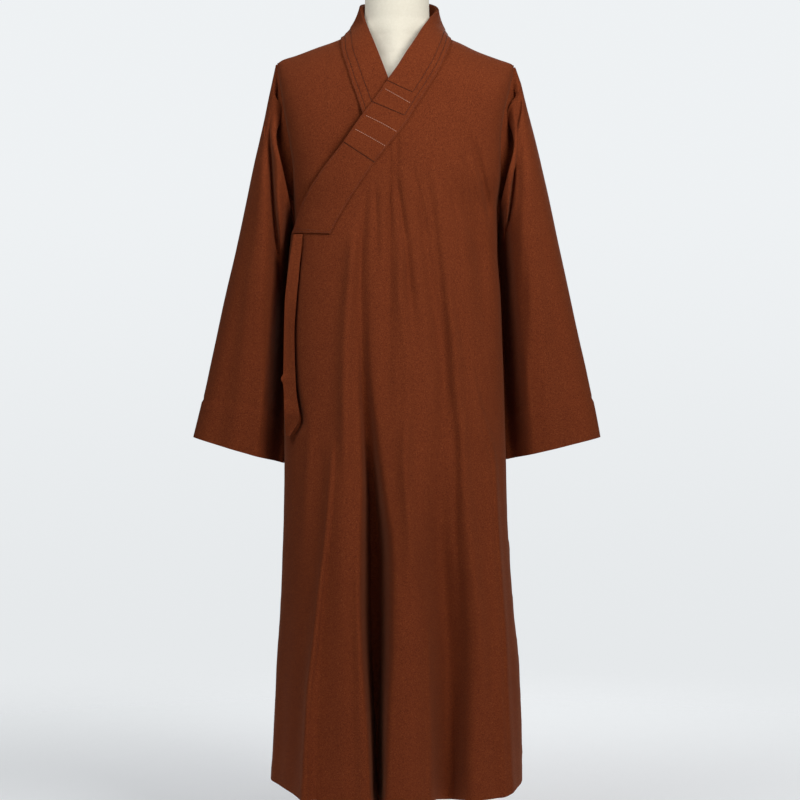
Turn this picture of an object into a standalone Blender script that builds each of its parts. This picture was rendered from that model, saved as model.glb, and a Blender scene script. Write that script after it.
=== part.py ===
"""A long monk's robe with a crossed, tiered collar, worn by a limbless dress form on a stand.

Frame: +Z up, the front faces -Y, the wearer's left is at +X. The origin is on the floor, under
the middle of the stand's base. Tables are in millimetres and are turned into metres by MM.
"""
import math

import bmesh
import bpy
import numpy as np

MM = 0.001

# ---- driving sizes, in millimetres -------------------------------------------------------------
HEM_HEIGHT = 130.0          # hem above the floor
CLOTH = 2.0                 # wall of the robe's cloth
BAND = 1.0                  # wall of one layer of the collar
SEAM = 0.3                  # gap between pieces that are sewn together
SHOULDER_ROUND = 105.0      # height over which the cloth rounds over the shoulder
ARMHOLE_GAP = 0.8           # gap between a sleeve and the edge of its armhole
BEND_SHARE = 30.0           # length that a bend of one radian counts for, when columns are spread
UNDERARM_HEIGHT = 1135.0    # where the sleeve's seam meets the side seam
TIE_WALL = 1.2
TIE_CLEAR = 0.9             # gap between the tie's inner edge and the front
TIE_LEAN = 3.0              # how much further back its outer edge hangs
PLAIN_TOP = 1150.0          # columns that start below this have a plain spread of rows
SHOULDER_TOP = 1390.0       # columns that start above this have the shoulder's spread
FORM_TOP = 1536.0           # top of the neck's cap
FORM_HIP = 760.0            # flat underside of the torso
BASE_RADIUS = 190.0
BASE_THICK = 14.0
POLE_RADIUS = 14.0

# The robe's body: outline of the sides, depth of front and back, squareness of the section
# (1 is an ellipse, lower is squarer), and how far the armhole's edges stand from the middle.
BODY = [
    # height, left, right, front, back, square, arm
    (130, -223, 223, 190, 158, 0.56, 0),
    (200, -220, 225, 187, 156, 0.57, 0),
    (330, -215, 218, 178, 150, 0.60, 0),
    (450, -208, 208, 168, 142, 0.63, 0),
    (600, -200, 197, 156, 132, 0.66, 0),
    (700, -197, 193, 148, 125, 0.70, 0),
    (850, -198, 189, 137, 116, 0.74, 0),
    (980, -195, 184, 129, 112, 0.78, 0),
    (1070, -188, 178, 125, 113, 0.80, 0),
    (1135, -183, 178, 122, 114, 0.80, 0),
    (1200, -183, 183, 119, 114, 0.78, 26),
    (1260, -190, 183, 115, 112, 0.76, 33),
    (1310, -199, 189, 111, 109, 0.74, 30),
    (1360, -207, 201, 106, 105, 0.72, 18),
    (1400, -213, 208, 101, 101, 0.70, 3),
    (1520, -214, 210, 90, 96, 0.70, 0),
]

# The top of the shoulders, seen from the front, with the slope carried on up to the neck.
SHOULDER = [
    # across, height
    (-214, 1401), (-203, 1408), (-180, 1415), (-139, 1430), (-118, 1437), (-96, 1446),
    (-60, 1470), (0, 1488), (60, 1470), (94, 1445), (112, 1437), (141, 1423), (182, 1408),
    (203, 1401), (210, 1396),
]

# Folds of the front: each is a line down the cloth; push is outward, width is its half width.
FRONT_FOLDS = {
    "centre pleat": [
        # height, across, push, width
        (790, -49, 0, 14), (745, -49, -5, 15), (640, -54, -22, 20), (560, -48, -44, 24),
        (440, -42, -66, 26), (330, -38, -78, 23), (230, -37, -82, 18), (130, -38, -80, 14),
    ],
    "crease at the right side": [
        (760, -120, 0, 8), (680, -117, 3, 7), (560, -124, 6, 8), (430, -138, 9, 9),
        (300, -148, 13, 10), (130, -158, 16, 12),
    ],
    "roll beside the pleat, right": [
        (1120, -78, 0, 12), (1060, -78, 4, 13), (900, -92, 5, 15), (760, -90, 7, 18),
        (660, -98, 8, 20), (520, -92, 8, 24), (300, -88, 5, 24), (130, -84, 4, 24),
    ],
    "roll beside the pleat, left": [
        (900, -5, 0, 14), (800, 3, 4, 16), (690, 14, 8, 20), (560, 22, 10, 24),
        (400, 16, 9, 26), (130, 12, 8, 26),
    ],
    "hollow at the left": [
        (860, 84, 0, 14), (720, 92, -7, 17), (600, 98, -12, 20), (460, 104, -17, 23),
        (300, 100, -23, 26), (130, 98, -26, 26),
    ],
    "crease at the left side": [
        (860, 118, 0, 8), (770, 138, 4, 8), (670, 162, 7, 9), (560, 168, 8, 10),
        (420, 178, 9, 11), (260, 182, 11, 12), (130, 190, 13, 13),
    ],
    "fold under the crossing": [
        (1230, -14, 0, 6), (1190, -14, -3, 6), (1000, -13, -4, 7), (860, -14, -3, 9),
        (760, -16, 0, 10),
    ],
    "fold under the band": [
        (1160, -52, 0, 7), (1090, -60, -4, 8), (900, -58, -5, 10), (790, -52, -4, 12),
        (720, -50, 0, 14),
    ],
    "slanting fold of the chest": [
        (1210, 95, 0, 14), (1150, 112, -3, 15), (1080, 138, -5, 16), (980, 152, -4, 18),
        (880, 158, 0, 20),
    ],
    "long slanting fold": [
        (1230, 48, 0, 14), (1120, 62, -3, 16), (1000, 76, -5, 18), (860, 84, -6, 18),
        (760, 88, 0, 18),
    ],
}

# Folds of the back, which hangs from the shoulder blades.
BACK_FOLDS = {
    "middle fold": [
        (1000, 12, 0, 20), (850, 10, -5, 24), (600, 6, -16, 28), (350, 2, -28, 30),
        (130, 0, -36, 30),
    ],
    "right fold": [
        (900, -78, 0, 18), (700, -88, -8, 22), (450, -98, -18, 26), (130, -108, -28, 28),
    ],
    "left fold": [
        (980, 76, 0, 18), (760, 86, -7, 22), (480, 98, -16, 26), (130, 112, -26, 28),
    ],
    "right roll": [
        (860, -36, 0, 20), (600, -44, 6, 24), (130, -54, 13, 28),
    ],
    "left roll": [
        (900, 44, 0, 20), (640, 50, 6, 24), (130, 60, 12, 28),
    ],
}


def smooth_table(heights, table, column):
    """Read a table's column at the given heights, on a curve through its rows that never
    overshoots them (cubic Hermite with harmonic slopes)."""
    rows = sorted(table)
    knots = np.array([row[0] for row in rows], float)
    values = np.array([row[column] for row in rows], float)
    secants = np.diff(values) / np.diff(knots)
    before, after = secants[:-1], secants[1:]
    level = before * after <= 0
    inner = np.where(level, 0.0, 2 * before * after / np.where(level, 1.0, before + after))
    slopes = np.concatenate([[secants[0]], inner, [secants[-1]]])
    at = np.clip(heights, knots[0], knots[-1])
    index = np.clip(np.searchsorted(knots, at) - 1, 0, len(knots) - 2)
    span = knots[index + 1] - knots[index]
    u = (at - knots[index]) / span
    return (values[index] * (1 + 2 * u) * (1 - u) ** 2 + slopes[index] * span * u * (1 - u) ** 2
            + values[index + 1] * u * u * (3 - 2 * u)
            + slopes[index + 1] * span * u * u * (u - 1))


def step(values, low, high):
    """0 below low, 1 above high, smooth between."""
    u = np.clip((values - low) / (high - low), 0, 1)
    return u * u * (3 - 2 * u)


def folds_push(across, height, folds):
    """Sum of the folds' outward push at points of the cloth."""
    total = np.zeros_like(across)
    for rows in folds.values():
        centre = smooth_table(height, rows, 1)
        push = smooth_table(height, rows, 2)
        width = smooth_table(height, rows, 3)
        total += push * np.exp(-((across - centre) / width) ** 2)
    return total


def body_point(turn, height, side, folds):
    """A point of the robe's outer surface: turn runs 0 to pi from the right side seam to the
    left, side is -1 for the front and 1 for the back."""
    left = smooth_table(height, BODY, 1)
    right = smooth_table(height, BODY, 2)
    depth = smooth_table(height, BODY, 3 if side < 0 else 4)
    square = smooth_table(height, BODY, 5)
    arm = smooth_table(height, BODY, 6)
    across = left + (right - left) * (1 - np.cos(turn)) / 2
    ridge = smooth_table(across, SHOULDER, 1)
    drop = np.clip((ridge - height) / SHOULDER_ROUND, 0, 1)
    over = np.sqrt(np.clip(1 - (1 - drop) ** 2, 0, 1))
    bulge = np.sin(turn) ** square
    inside = step(np.sin(turn), 0.10, 0.45)
    out = arm + (depth - arm) * bulge
    out = out * over + folds_push(across, height, folds) * inside * over
    return np.stack([across, side * out, height + 0 * across], axis=-1)


def turn_of(across, height):
    """The turn at which the section at this height reaches this place across."""
    left = smooth_table(height, BODY, 1)
    right = smooth_table(height, BODY, 2)
    return np.arccos(np.clip(1 - 2 * (across - left) / (right - left), -1, 1))


def chest_point(across, height, out):
    """A point this far out from the front's plain surface, and the surface's normal there."""
    across = np.asarray(across, float)
    height = np.asarray(height, float)

    def at(a, h):
        return body_point(turn_of(a, h), h, -1, FRONT_FOLDS)

    here = at(across, height)
    along = at(across + 2, height) - at(across - 2, height)
    up = at(across, height + 2) - at(across, height - 2)
    normal = np.cross(along, up)
    normal /= np.linalg.norm(normal, axis=-1, keepdims=True)
    return here + normal * np.asarray(out, float)[..., None]


def crossing_raise(across, height):
    """How far the outer front is lifted by the collar that passes under it."""
    far = np.hypot((across + 36) / 1.0, (height - 1322) / 1.25)
    return 7.0 * (1 - step(far, 50, 160))


# ---- making solids -----------------------------------------------------------------------------

def material(name, colour, roughness, metallic=0.0):
    made = bpy.data.materials.new(name)
    made.use_nodes = True
    shader = made.node_tree.nodes["Principled BSDF"]
    shader.inputs["Base Color"].default_value = (*colour, 1)
    shader.inputs["Roughness"].default_value = roughness
    shader.inputs["Metallic"].default_value = metallic
    return made


def add_object(name, vertices, faces, finish):
    """Make one object from points in millimetres; its faces are turned to point out."""
    mesh = bpy.data.meshes.new(name)
    mesh.from_pydata([tuple(MM * float(c) for c in v) for v in vertices], [], faces)
    shape = bmesh.new()
    shape.from_mesh(mesh)
    bmesh.ops.recalc_face_normals(shape, faces=shape.faces)
    if shape.calc_volume(signed=True) < 0:
        bmesh.ops.reverse_faces(shape, faces=shape.faces)
    shape.to_mesh(mesh)
    shape.free()
    mesh.materials.append(finish)
    mesh.shade_smooth()
    mesh.set_sharp_from_angle(angle=math.radians(50))
    made = bpy.data.objects.new(name, mesh)
    bpy.context.scene.collection.objects.link(made)
    return made


def grid_normals(grid):
    """Normals of a grid of points, rows by columns, from its neighbours' differences."""
    down = np.gradient(grid, axis=0)
    along = np.gradient(grid, axis=1)
    normal = np.cross(along, down)
    return normal / np.maximum(np.linalg.norm(normal, axis=-1, keepdims=True), 1e-9)


def behind(outer, thick, outward, closed=False, seam_side=0):
    """The inner face of a wall: the grid moved in along its normals.

    outward is 1 where the grid's rows and columns turn that way round, and -1 where they turn
    the other way. seam_side is -1 or 1 where the wall stops at the middle plane's front or back."""
    if closed:
        ring = np.concatenate([outer[:, -1:], outer, outer[:, :1]], axis=1)
        normal = grid_normals(ring)[:, 1:-1] * outward
    else:
        normal = grid_normals(outer) * outward
    inner = outer - normal * thick
    if seam_side:
        inner[..., 1] = seam_side * np.maximum(seam_side * inner[..., 1], SEAM / 2)
    return inner


def add_wall(name, outer, inner, finish, closed=False):
    """A closed solid between two grids of the same size."""
    rows, columns = outer.shape[:2]
    points = np.concatenate([outer.reshape(-1, 3), inner.reshape(-1, 3)])
    half = rows * columns
    wrap = columns if closed else columns - 1
    faces = []
    for r in range(rows - 1):
        for c in range(wrap):
            d = (c + 1) % columns
            a, b, e, f = r * columns + c, r * columns + d, (r + 1) * columns + d, (r + 1) * columns + c
            faces += [(a, b, e), (a, e, f)]
            faces += [(half + e, half + b, half + a), (half + f, half + e, half + a)]
    for c in range(wrap):
        d = (c + 1) % columns
        faces.append((c, half + c, half + d, d))
        last = (rows - 1) * columns
        faces.append((last + d, half + last + d, half + last + c, last + c))
    if not closed:
        for r in range(rows - 1):
            a, b = r * columns, (r + 1) * columns
            faces.append((a, b, half + b, half + a))
            faces.append((b + columns - 1, a + columns - 1, half + a + columns - 1, half + b + columns - 1))
    return add_object(name, points, faces, finish)


def even_turns(height, count, side, folds, first, last):
    """Turns that cut the section at one height into stretches of even length, closer together
    where it bends."""
    fine = np.linspace(first, last, 500)
    curve = body_point(fine, np.full(500, height), side, folds)
    run = np.diff(curve, axis=0)[:, :2]
    heading = np.unwrap(np.arctan2(run[:, 1], run[:, 0]))
    bend = np.abs(np.gradient(heading))
    length = np.concatenate([[0], np.cumsum(np.linalg.norm(run, axis=1) + BEND_SHARE * bend)])
    return np.interp(np.linspace(0, length[-1], count), length, fine)


def drops(rows, top, bottom):
    """How far below its top line each row of a panel lies: close together over the shoulder's
    round, wider at the armhole and widest down the skirt. Columns that start lower, under the
    crossing, pass smoothly over to a plain spread."""
    reach = top - bottom
    round_rows = SHOULDER_ROUND * (1 - np.cos(np.radians([0, 15, 31, 47, 64, 82])))
    arm_rows = SHOULDER_ROUND + np.array([20, 50, 82, 116, 152, 190])
    skirt = rows - len(round_rows) - len(arm_rows)
    start = arm_rows[-1]
    skirt_rows = start + (reach - start) * np.arange(1, skirt + 1) / skirt
    plain_rows = np.linspace(0, 1, rows) ** 1.25 * reach
    from_shoulder = step(top, PLAIN_TOP, SHOULDER_TOP)
    return (from_shoulder * np.concatenate([round_rows, arm_rows, skirt_rows])
            + (1 - from_shoulder) * plain_rows)


def panel_grid_between(top_line, bottom, rows, columns, side, folds, levels, firsts, lasts):
    """A grid of points that hangs from a line drawn across the front or back.

    top_line is a table of (across, height). At each level the columns are spread evenly by
    length between a first and a last turn."""
    turns = np.array([even_turns(level, columns, side, folds, first, last)
                      for level, first, last in zip(levels, firsts, lasts)])
    grid = np.zeros((rows, columns, 3))
    for c in range(columns):
        fine = np.linspace(bottom, levels[-1], 700)
        turn = np.interp(fine, levels, turns[:, c])
        left, right = smooth_table(fine, BODY, 1), smooth_table(fine, BODY, 2)
        across = left + (right - left) * (1 - np.cos(turn)) / 2
        line = np.interp(across, [p[0] for p in top_line], [p[1] for p in top_line])
        above = np.nonzero(fine >= line)[0]
        reach = int(above[0]) if len(above) else len(fine) - 1
        below = max(reach - 1, 0)
        room_below, room_reach = line[below] - fine[below], line[reach] - fine[reach]
        top = fine[below] + (fine[reach] - fine[below]) * room_below / max(
            room_below - room_reach, 1e-9)
        heights = top - drops(rows, top, bottom)
        at = np.interp(heights, levels, turns[:, c])
        grid[:, c] = body_point(at, heights, side, folds)
    return grid


def panel_grid(top_line, bottom, rows, columns, side, folds):
    """A panel from one side seam to the other."""
    levels = np.linspace(bottom, 1480, 60)
    return panel_grid_between(top_line, bottom, rows, columns, side, folds, levels,
                              np.zeros(60), np.full(60, math.pi))


def pushed(grid, side, out):
    """The grid moved out along its normals, and half a seam away from the middle plane."""
    if out is not None:
        normal = grid_normals(grid)
        if normal[grid.shape[0] // 2, grid.shape[1] // 2, 1] * side < 0:
            normal = -normal
        grid = grid + normal * out(grid[..., 0], grid[..., 2])[..., None]
    shift = grid.copy()
    shift[..., 1] += side * SEAM / 2
    return shift


# ---- the robe's body ---------------------------------------------------------------------------

RIGHT_FRONT_TOP = [
    # across, height: shoulder, then under the collar, then down the hidden free edge
    (-214, 1401), (-203, 1408), (-180, 1415), (-139, 1430), (-118, 1437), (-98, 1445.3),
    (-95, 1446), (-92, 1436), (-87, 1411), (-77, 1381), (-70, 1356), (-62, 1334), (-46, 1286),
    (-25, 1240), (-9, 1180),
]
LEFT_FRONT_TOP = [
    # across, height: under the diagonal band, under the collar, then the shoulder
    (-190, 1088), (-173, 1114), (-157, 1148), (-128, 1193), (-86, 1244), (-54, 1291),
    (-32, 1320), (-10, 1352), (6, 1345), (30, 1332), (45, 1346), (62, 1375), (74, 1401),
    (85, 1424), (91, 1446), (94, 1445), (112, 1437), (141, 1423), (182, 1408), (203, 1401),
    (210, 1396),
]
BACK_TOP = [
    # across, height: shoulder, then under the collar at the back of the neck
    (-214, 1401), (-203, 1408), (-180, 1415), (-139, 1430), (-118, 1437), (-96, 1446),
    (-86, 1454), (-60, 1459), (0, 1461), (60, 1459), (84, 1453), (94, 1445), (112, 1437),
    (141, 1423), (182, 1408), (203, 1401), (210, 1396),
]
RIGHT_FRONT_EDGE = [
    # height, across: free edge of the under front, hidden by the outer one
    (420, -104), (650, -104), (720, -96), (860, -14), (1000, -9), (1500, -9),
]
UNDER_FRONT_HEM = 420.0


def outer_front_out(across, height):
    """How far the outer front stands off the plain surface: over the under front, then more
    where the collar passes between them."""
    over_under = 1 - step(across, -22, 24)
    return 2.8 * over_under + crossing_raise(across, height)


def under_front_out(across, height):
    """The under front sinks a little where the outer front covers it."""
    edge = np.interp(across, [p[0] for p in LEFT_FRONT_TOP], [p[1] for p in LEFT_FRONT_TOP])
    covered = step(edge - height, -45, 12)
    return -7.0 * covered * (0.7 + 0.3 * step(across, -195, -165))


def build_right_front(finish):
    rows, columns = 20, 14
    levels = np.linspace(UNDER_FRONT_HEM, 1480, 60)
    edges = smooth_table(levels, RIGHT_FRONT_EDGE, 1)
    lasts = turn_of(edges, levels)
    grid = panel_grid_between(RIGHT_FRONT_TOP, UNDER_FRONT_HEM, rows, columns, -1, {}, levels,
                              np.zeros(60), lasts)
    grid = pushed(grid, -1, under_front_out)
    return add_wall("front_right", grid, behind(grid, CLOTH, -1, seam_side=-1), finish)


def build_left_front(finish):
    rows, columns = 25, 42
    grid = panel_grid(LEFT_FRONT_TOP, HEM_HEIGHT, rows, columns, -1, FRONT_FOLDS)
    grid = pushed(grid, -1, outer_front_out)
    return add_wall("front_left", grid, behind(grid, CLOTH, -1, seam_side=-1), finish)


def build_back(finish):
    rows, columns = 23, 25
    grid = panel_grid(BACK_TOP, HEM_HEIGHT, rows, columns, 1, BACK_FOLDS)
    grid = pushed(grid, 1, None)
    return add_wall("back", grid, behind(grid, CLOTH, 1, seam_side=1), finish)


# ---- sleeves -----------------------------------------------------------------------------------

SLEEVE_RIGHT = [
    # share, outer across, outer height, inner across, inner height, front depth, back depth,
    # and how far the inner edge is set back, behind the robe's side
    (0.06, -223, 1366, -187, 1112, 50, 48, 4),
    (0.16, -236, 1306, -188.8, 1080, 64, 60, 20),
    (0.30, -254.5, 1222, -190.5, 1030, 74, 68, 34),
    (0.50, -285, 1078, -190.5, 948, 72, 66, 46),
    (0.70, -316, 940, -194, 860, 64, 58, 44),
    (0.87, -342, 818, -198, 765, 55, 50, 34),
    (1.00, -362, 737, -203, 693, 47, 44, 22),
]
SLEEVE_LEFT = [
    (0.06, 221, 1366, 180.5, 1116, 50, 48, 4),
    (0.16, 235, 1308, 180.5, 1084, 64, 60, 20),
    (0.30, 256, 1226, 181, 1034, 74, 68, 34),
    (0.50, 288, 1080, 181, 950, 72, 66, 46),
    (0.70, 318, 942, 185, 862, 64, 58, 44),
    (0.87, 345, 820, 191, 768, 55, 50, 34),
    (1.00, 361, 737, 195.5, 697, 47, 44, 22),
]
SLEEVE_FOLDS_RIGHT = {
    "trough by the armhole": [
        # share, place from outer (0) to inner (1), push, width
        (0.04, 0.06, 0, 0.14), (0.12, 0.16, -5, 0.15), (0.20, 0.32, -9, 0.16),
        (0.28, 0.48, -10, 0.16), (0.38, 0.62, -8, 0.16), (0.52, 0.74, -4, 0.15),
        (0.72, 0.84, 0, 0.14),
    ],
    "narrow roll": [
        (0.04, 0.30, 0, 0.14), (0.12, 0.46, 4, 0.14), (0.20, 0.66, 5, 0.13),
        (0.28, 0.80, 4, 0.12), (0.38, 0.88, 0, 0.12),
    ],
    "soft hollow": [
        (0.25, 0.16, 0, 0.12), (0.45, 0.30, -4, 0.14), (0.75, 0.42, -6, 0.15),
        (1.0, 0.45, -7, 0.16),
    ],
}
SLEEVE_FOLDS_LEFT = {
    "trough by the armhole": [
        (0.03, 0.06, 0, 0.14), (0.10, 0.20, -5, 0.15), (0.17, 0.40, -9, 0.16),
        (0.25, 0.56, -10, 0.16), (0.34, 0.70, -7, 0.15), (0.48, 0.82, 0, 0.14),
    ],
    "narrow roll": [
        (0.03, 0.30, 0, 0.14), (0.10, 0.50, 4, 0.14), (0.17, 0.70, 5, 0.13),
        (0.25, 0.84, 4, 0.12), (0.34, 0.90, 0, 0.12),
    ],
    "soft hollow": [
        (0.30, 0.30, 0, 0.14), (0.55, 0.45, -4, 0.15), (1.0, 0.55, -7, 0.17),
    ],
}


def sleeve_point(share, around, table, folds, flip):
    """A point of a sleeve's outer surface. around runs 0 to 2 pi from the outer edge over the
    front; flip is -1 for the sleeve at -X and 1 for the one at +X."""
    column = [smooth_table(share, table, c) for c in range(1, 8)]
    place = (1 - np.cos(around)) / 2
    across = column[0] + (column[2] - column[0]) * place
    height = column[1] + (column[3] - column[1]) * place
    front = np.sin(around) >= 0
    depth = np.where(front, column[4], column[5])
    power = 0.80 + 0.38 * np.cos(around)
    out = depth * np.abs(np.sin(around)) ** power
    push = np.zeros_like(place)
    for rows in folds.values():
        centre = smooth_table(share, rows, 1)
        width = smooth_table(share, rows, 3)
        push += smooth_table(share, rows, 2) * np.exp(-((place - centre) / width) ** 2)
    out = out + push * step(np.abs(np.sin(around)), 0.15, 0.5) * np.where(front, 1.0, 0.4)
    # the armhole: the first rings follow its edge
    top = 1402.0 if flip < 0 else 1397.0
    hole_height = top + (UNDERARM_HEIGHT - 3 - top) * place
    hole_across = smooth_table(hole_height, BODY, 1 if flip < 0 else 2) + flip * ARMHOLE_GAP
    hole_across = hole_across + flip * 1.4 * (1 - step(place, 0.0, 0.12))
    hole_out = smooth_table(hole_height, BODY, 6) * (np.abs(np.sin(around)) > 1e-6) + CLOTH
    start = 1 - step(share, 0.0, 0.06)
    across = hole_across * start + across * (1 - start)
    height = hole_height * start + height * (1 - start)
    out = hole_out * start + out * (1 - start)
    out = out * step(np.abs(np.sin(around)), 0.0, 0.12)
    tuck = step(place, 0.70, 0.95) * step(column[6], 0.0, 30.0) * (1 - start)
    out = out * (1 - tuck * front)
    set_back = column[6] * step(place, 0.5, 0.95) * (1 - start)
    return np.stack([across, np.where(front, -out, out) + set_back, height], axis=-1)


def build_sleeve(name, table, folds, flip, finish):
    shares = [0, 0.03, 0.06, 0.10, 0.14, 0.18, 0.225, 0.275, 0.33, 0.41, 0.52, 0.64, 0.76,
              0.88, 1.0]
    front = np.linspace(0, 1, 18)
    back = np.linspace(1, 0, 12)[1:-1]
    place = np.concatenate([front, back])
    around = np.arccos(1 - 2 * (0.35 * (1 - np.cos(place * math.pi)) / 2 + 0.65 * place))
    around[len(front):] = 2 * math.pi - around[len(front):]
    grid = np.array([sleeve_point(np.full(len(around), share), around, table, folds, flip)
                     for share in shares])
    return add_wall(name, grid, behind(grid, CLOTH, flip, closed=True), finish, closed=True)


# ---- collar ------------------------------------------------------------------------------------

COLLAR = [
    # inner edge: across, depth, height; outer edge: across, depth, height; 1 where it lies on
    # the chest, so that its depth comes from there
    (-9, 0, 1346, -54, 0, 1283, 1),
    (-14, 0, 1357, -70, 0, 1331, 1),
    (-22, 0, 1378, -78, 0, 1353, 1),
    (-31, -98, 1402, -85, -95, 1378, 1),
    (-40, -77, 1427, -94, -72, 1408, 0.8),
    (-49, -58, 1453, -99, -48, 1430, 0.3),
    (-57, -36, 1476, -101, -10, 1443, 0),
    (-62, 2, 1502, -96, 22, 1447, 0),
    (-47, 48, 1517, -62, 68, 1448, 0),
    (0, 69, 1524, 0, 84, 1450, 0),
    (50, 49, 1518, 64, 68, 1448, 0),
    (69, 2, 1498, 97, 20, 1446, 0),
    (55, -38, 1474, 97, -31, 1437, 0),
    (44, -60, 1453, 92, -65, 1418, 0.3),
    (31, -78, 1427, 82, -91, 1396, 0.7),
    (16, -98, 1402, 70, -100, 1370, 1),
    (0, 0, 1376, 53, 0, 1341, 1),
    (-14, 0, 1356, 33, 0, 1309, 1),
    (-35, 0, 1324, 13, 0, 1276, 1),
    (-58, 0, 1294, -8, 0, 1249, 1),
    (-90, 0, 1248, -39, 0, 1209, 1),
    (-131, 0, 1197, -79, 0, 1151, 1),
    (-160, 0, 1152, -102, 0, 1112, 1),
    (-177, 0, 1103, -114, 0, 1087, 1),
]
LEFT_SHOULDER = 11          # the station over the wearer's left shoulder
COLLAR_LAYERS = [
    # name, last station at its inner edge, how far short of it the outer edge ends, and the last
    # of the lines across its width
    ("collar_base", 23.0, 0.0, 5),
    ("collar_tier_low", 20.0, 0.05, 5),
    ("collar_tier_mid", 18.3, 0.6, 4),
    ("collar_tier_top", 17.15, 0.5, 3),
]
SLANT_REACH = 3.0           # stations over which a layer's rows turn to its slanting end
STEP_LINES_RIGHT = [0.0, 0.22, 0.44, 0.66, 0.87, 1.0]     # lines across the collar's width
STEP_LINES_LEFT = [0.0, 0.24, 0.48, 0.72, 0.86, 1.0]
COLLAR_CLEAR = 1.6          # gap under the collar, over the panels


def station_value(station, column):
    rows = [(index, *row) for index, row in enumerate(COLLAR)]
    return smooth_table(station, rows, column + 1)


def collar_ground(station, line):
    """A point under the collar: on the chest, or on the cone that stands round the neck."""
    edge_in = [station_value(station, c) for c in (0, 1, 2)]
    edge_out = [station_value(station, c) for c in (3, 4, 5)]
    mixed = [a + (b - a) * line for a, b in zip(edge_in, edge_out)]
    on_chest = np.clip(station_value(station, 6), 0, 1)
    chest = body_point(turn_of(mixed[0], mixed[2]), mixed[2], -1, FRONT_FOLDS)
    depth = mixed[1] * (1 - on_chest) + chest[..., 1] * on_chest
    return np.stack([mixed[0], depth, mixed[2]], axis=-1)


def collar_point(station, line, out):
    """A point this far out from the collar's ground; out may vary from point to point."""
    ground = collar_ground(station, line)
    last = len(COLLAR) - 1
    along = (collar_ground(np.minimum(station + 0.2, last), line)
             - collar_ground(np.maximum(station - 0.2, 0), line))
    over = collar_ground(station, line + 0.15) - collar_ground(station, line - 0.15)
    normal = np.cross(along, over)
    normal /= np.linalg.norm(normal, axis=-1, keepdims=True)
    over_left = step(station, LEFT_SHOULDER - 1.0, LEFT_SHOULDER + 3.0)
    lift = outer_front_out(ground[..., 0], ground[..., 2]) * over_left
    return ground + normal * (COLLAR_CLEAR + lift + out)[..., None]


def collar_grid(stations, lines_right, lines_left, slant, out):
    """The grid of one face of a layer that ends on a slant."""
    share = np.clip((stations - 8) / 4, 0, 1)[:, None]
    lines = np.array(lines_right)[None] * (1 - share) + np.array(lines_left)[None] * share
    turned_by = slant * step(stations, stations[-1] - SLANT_REACH, stations[-1])
    station = stations[:, None] - turned_by[:, None] * lines / lines[:, -1:]
    return collar_point(station, lines, np.full(station.shape, out))


def build_collar(finish):
    every = np.concatenate([np.linspace(0, 4, 6), np.linspace(4, 16, 27)[1:],
                            np.linspace(16, 23, 15)[1:]])
    for index, (name, last, slant, lines) in enumerate(COLLAR_LAYERS):
        stations = np.concatenate([every[every < last - 0.15], [last]])
        height_of_layer = BAND + index * (BAND + SEAM)
        outer, inner = (collar_grid(stations, STEP_LINES_RIGHT[:lines + 1],
                                    STEP_LINES_LEFT[:lines + 1], slant, out)
                        for out in (height_of_layer, height_of_layer - BAND))
        add_wall(name, outer, inner, finish)


# ---- tie ---------------------------------------------------------------------------------------

TIE = [
    # height, outer edge, inner edge (across)
    (1085, -181, -165), (1054, -186, -168), (1010, -192, -172), (974, -195.5, -175.5),
    (918, -197, -179), (873, -197.5, -178), (849, -198, -177), (840, -202, -176.5),
    (831, -198, -176), (812, -196.5, -174.5), (773, -195, -169), (762, -194.5, -173),
    (741, -193, -187),
]


def build_tie(finish):
    height = np.array([row[0] for row in TIE], float)
    outer_edge = np.array([row[1] for row in TIE], float)
    inner_edge = np.array([row[2] for row in TIE], float)
    lines = np.linspace(0, 1, 4)
    across = outer_edge[:, None] + (inner_edge - outer_edge)[:, None] * lines[None]
    level = np.repeat(height[:, None], 4, axis=1)
    ground = chest_point(inner_edge, height, np.zeros(len(height)))
    facing = -(chest_point(inner_edge, height, np.ones(len(height))) - ground)[:, 1]
    rest = ground[:, 1] - (outer_front_out(inner_edge, height) + TIE_CLEAR) / facing - TIE_WALL
    depth = rest[:, None] + np.linspace(TIE_LEAN, 0, 4)[None]
    grid = np.stack([across, depth, level], axis=-1)
    add_wall("tie", grid, behind(grid, TIE_WALL, -1), finish)


# ---- dress form --------------------------------------------------------------------------------

FORM = [
    # height, left, right, front, back, added at the middle of front and back
    (760, -148, 148, 92, 84, 0, 0),
    (860, -154, 154, 100, 90, 0, 0),
    (980, -146, 146, 94, 88, 0, 0),
    (1100, -154, 152, 98, 94, 0, 0),
    (1200, -162, 160, 97, 96, 0, 0),
    (1290, -176, 172, 88, 92, 2, 0),
    (1345, -192, 187, 72, 78, 16, 6),
    (1378, -200, 195, 46, 50, 35, 22),
    (1395.7, -201, 195, 30, 32, 47, 36),
    (1404.7, -196, 183, 20, 21, 54, 44),
    (1411.7, -178, 161, 17, 18, 55, 46),
    (1426.7, -137, 126, 16, 18, 52, 45),
    (1441.7, -99, 95, 22, 24, 42, 37),
    (1454, -77, 77, 38, 38, 23.5, 22),
    (1466, -64, 64, 53, 53, 5.5, 5),
    (1478, -58, 58, 57, 57, 0, 0),
    (1500, -57, 57, 57, 57, 0, 0),
    (1524, -57, 57, 57, 57, 0, 0),
]
NECK_BULGE = 50.0           # half width of the middle that carries the neck


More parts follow.
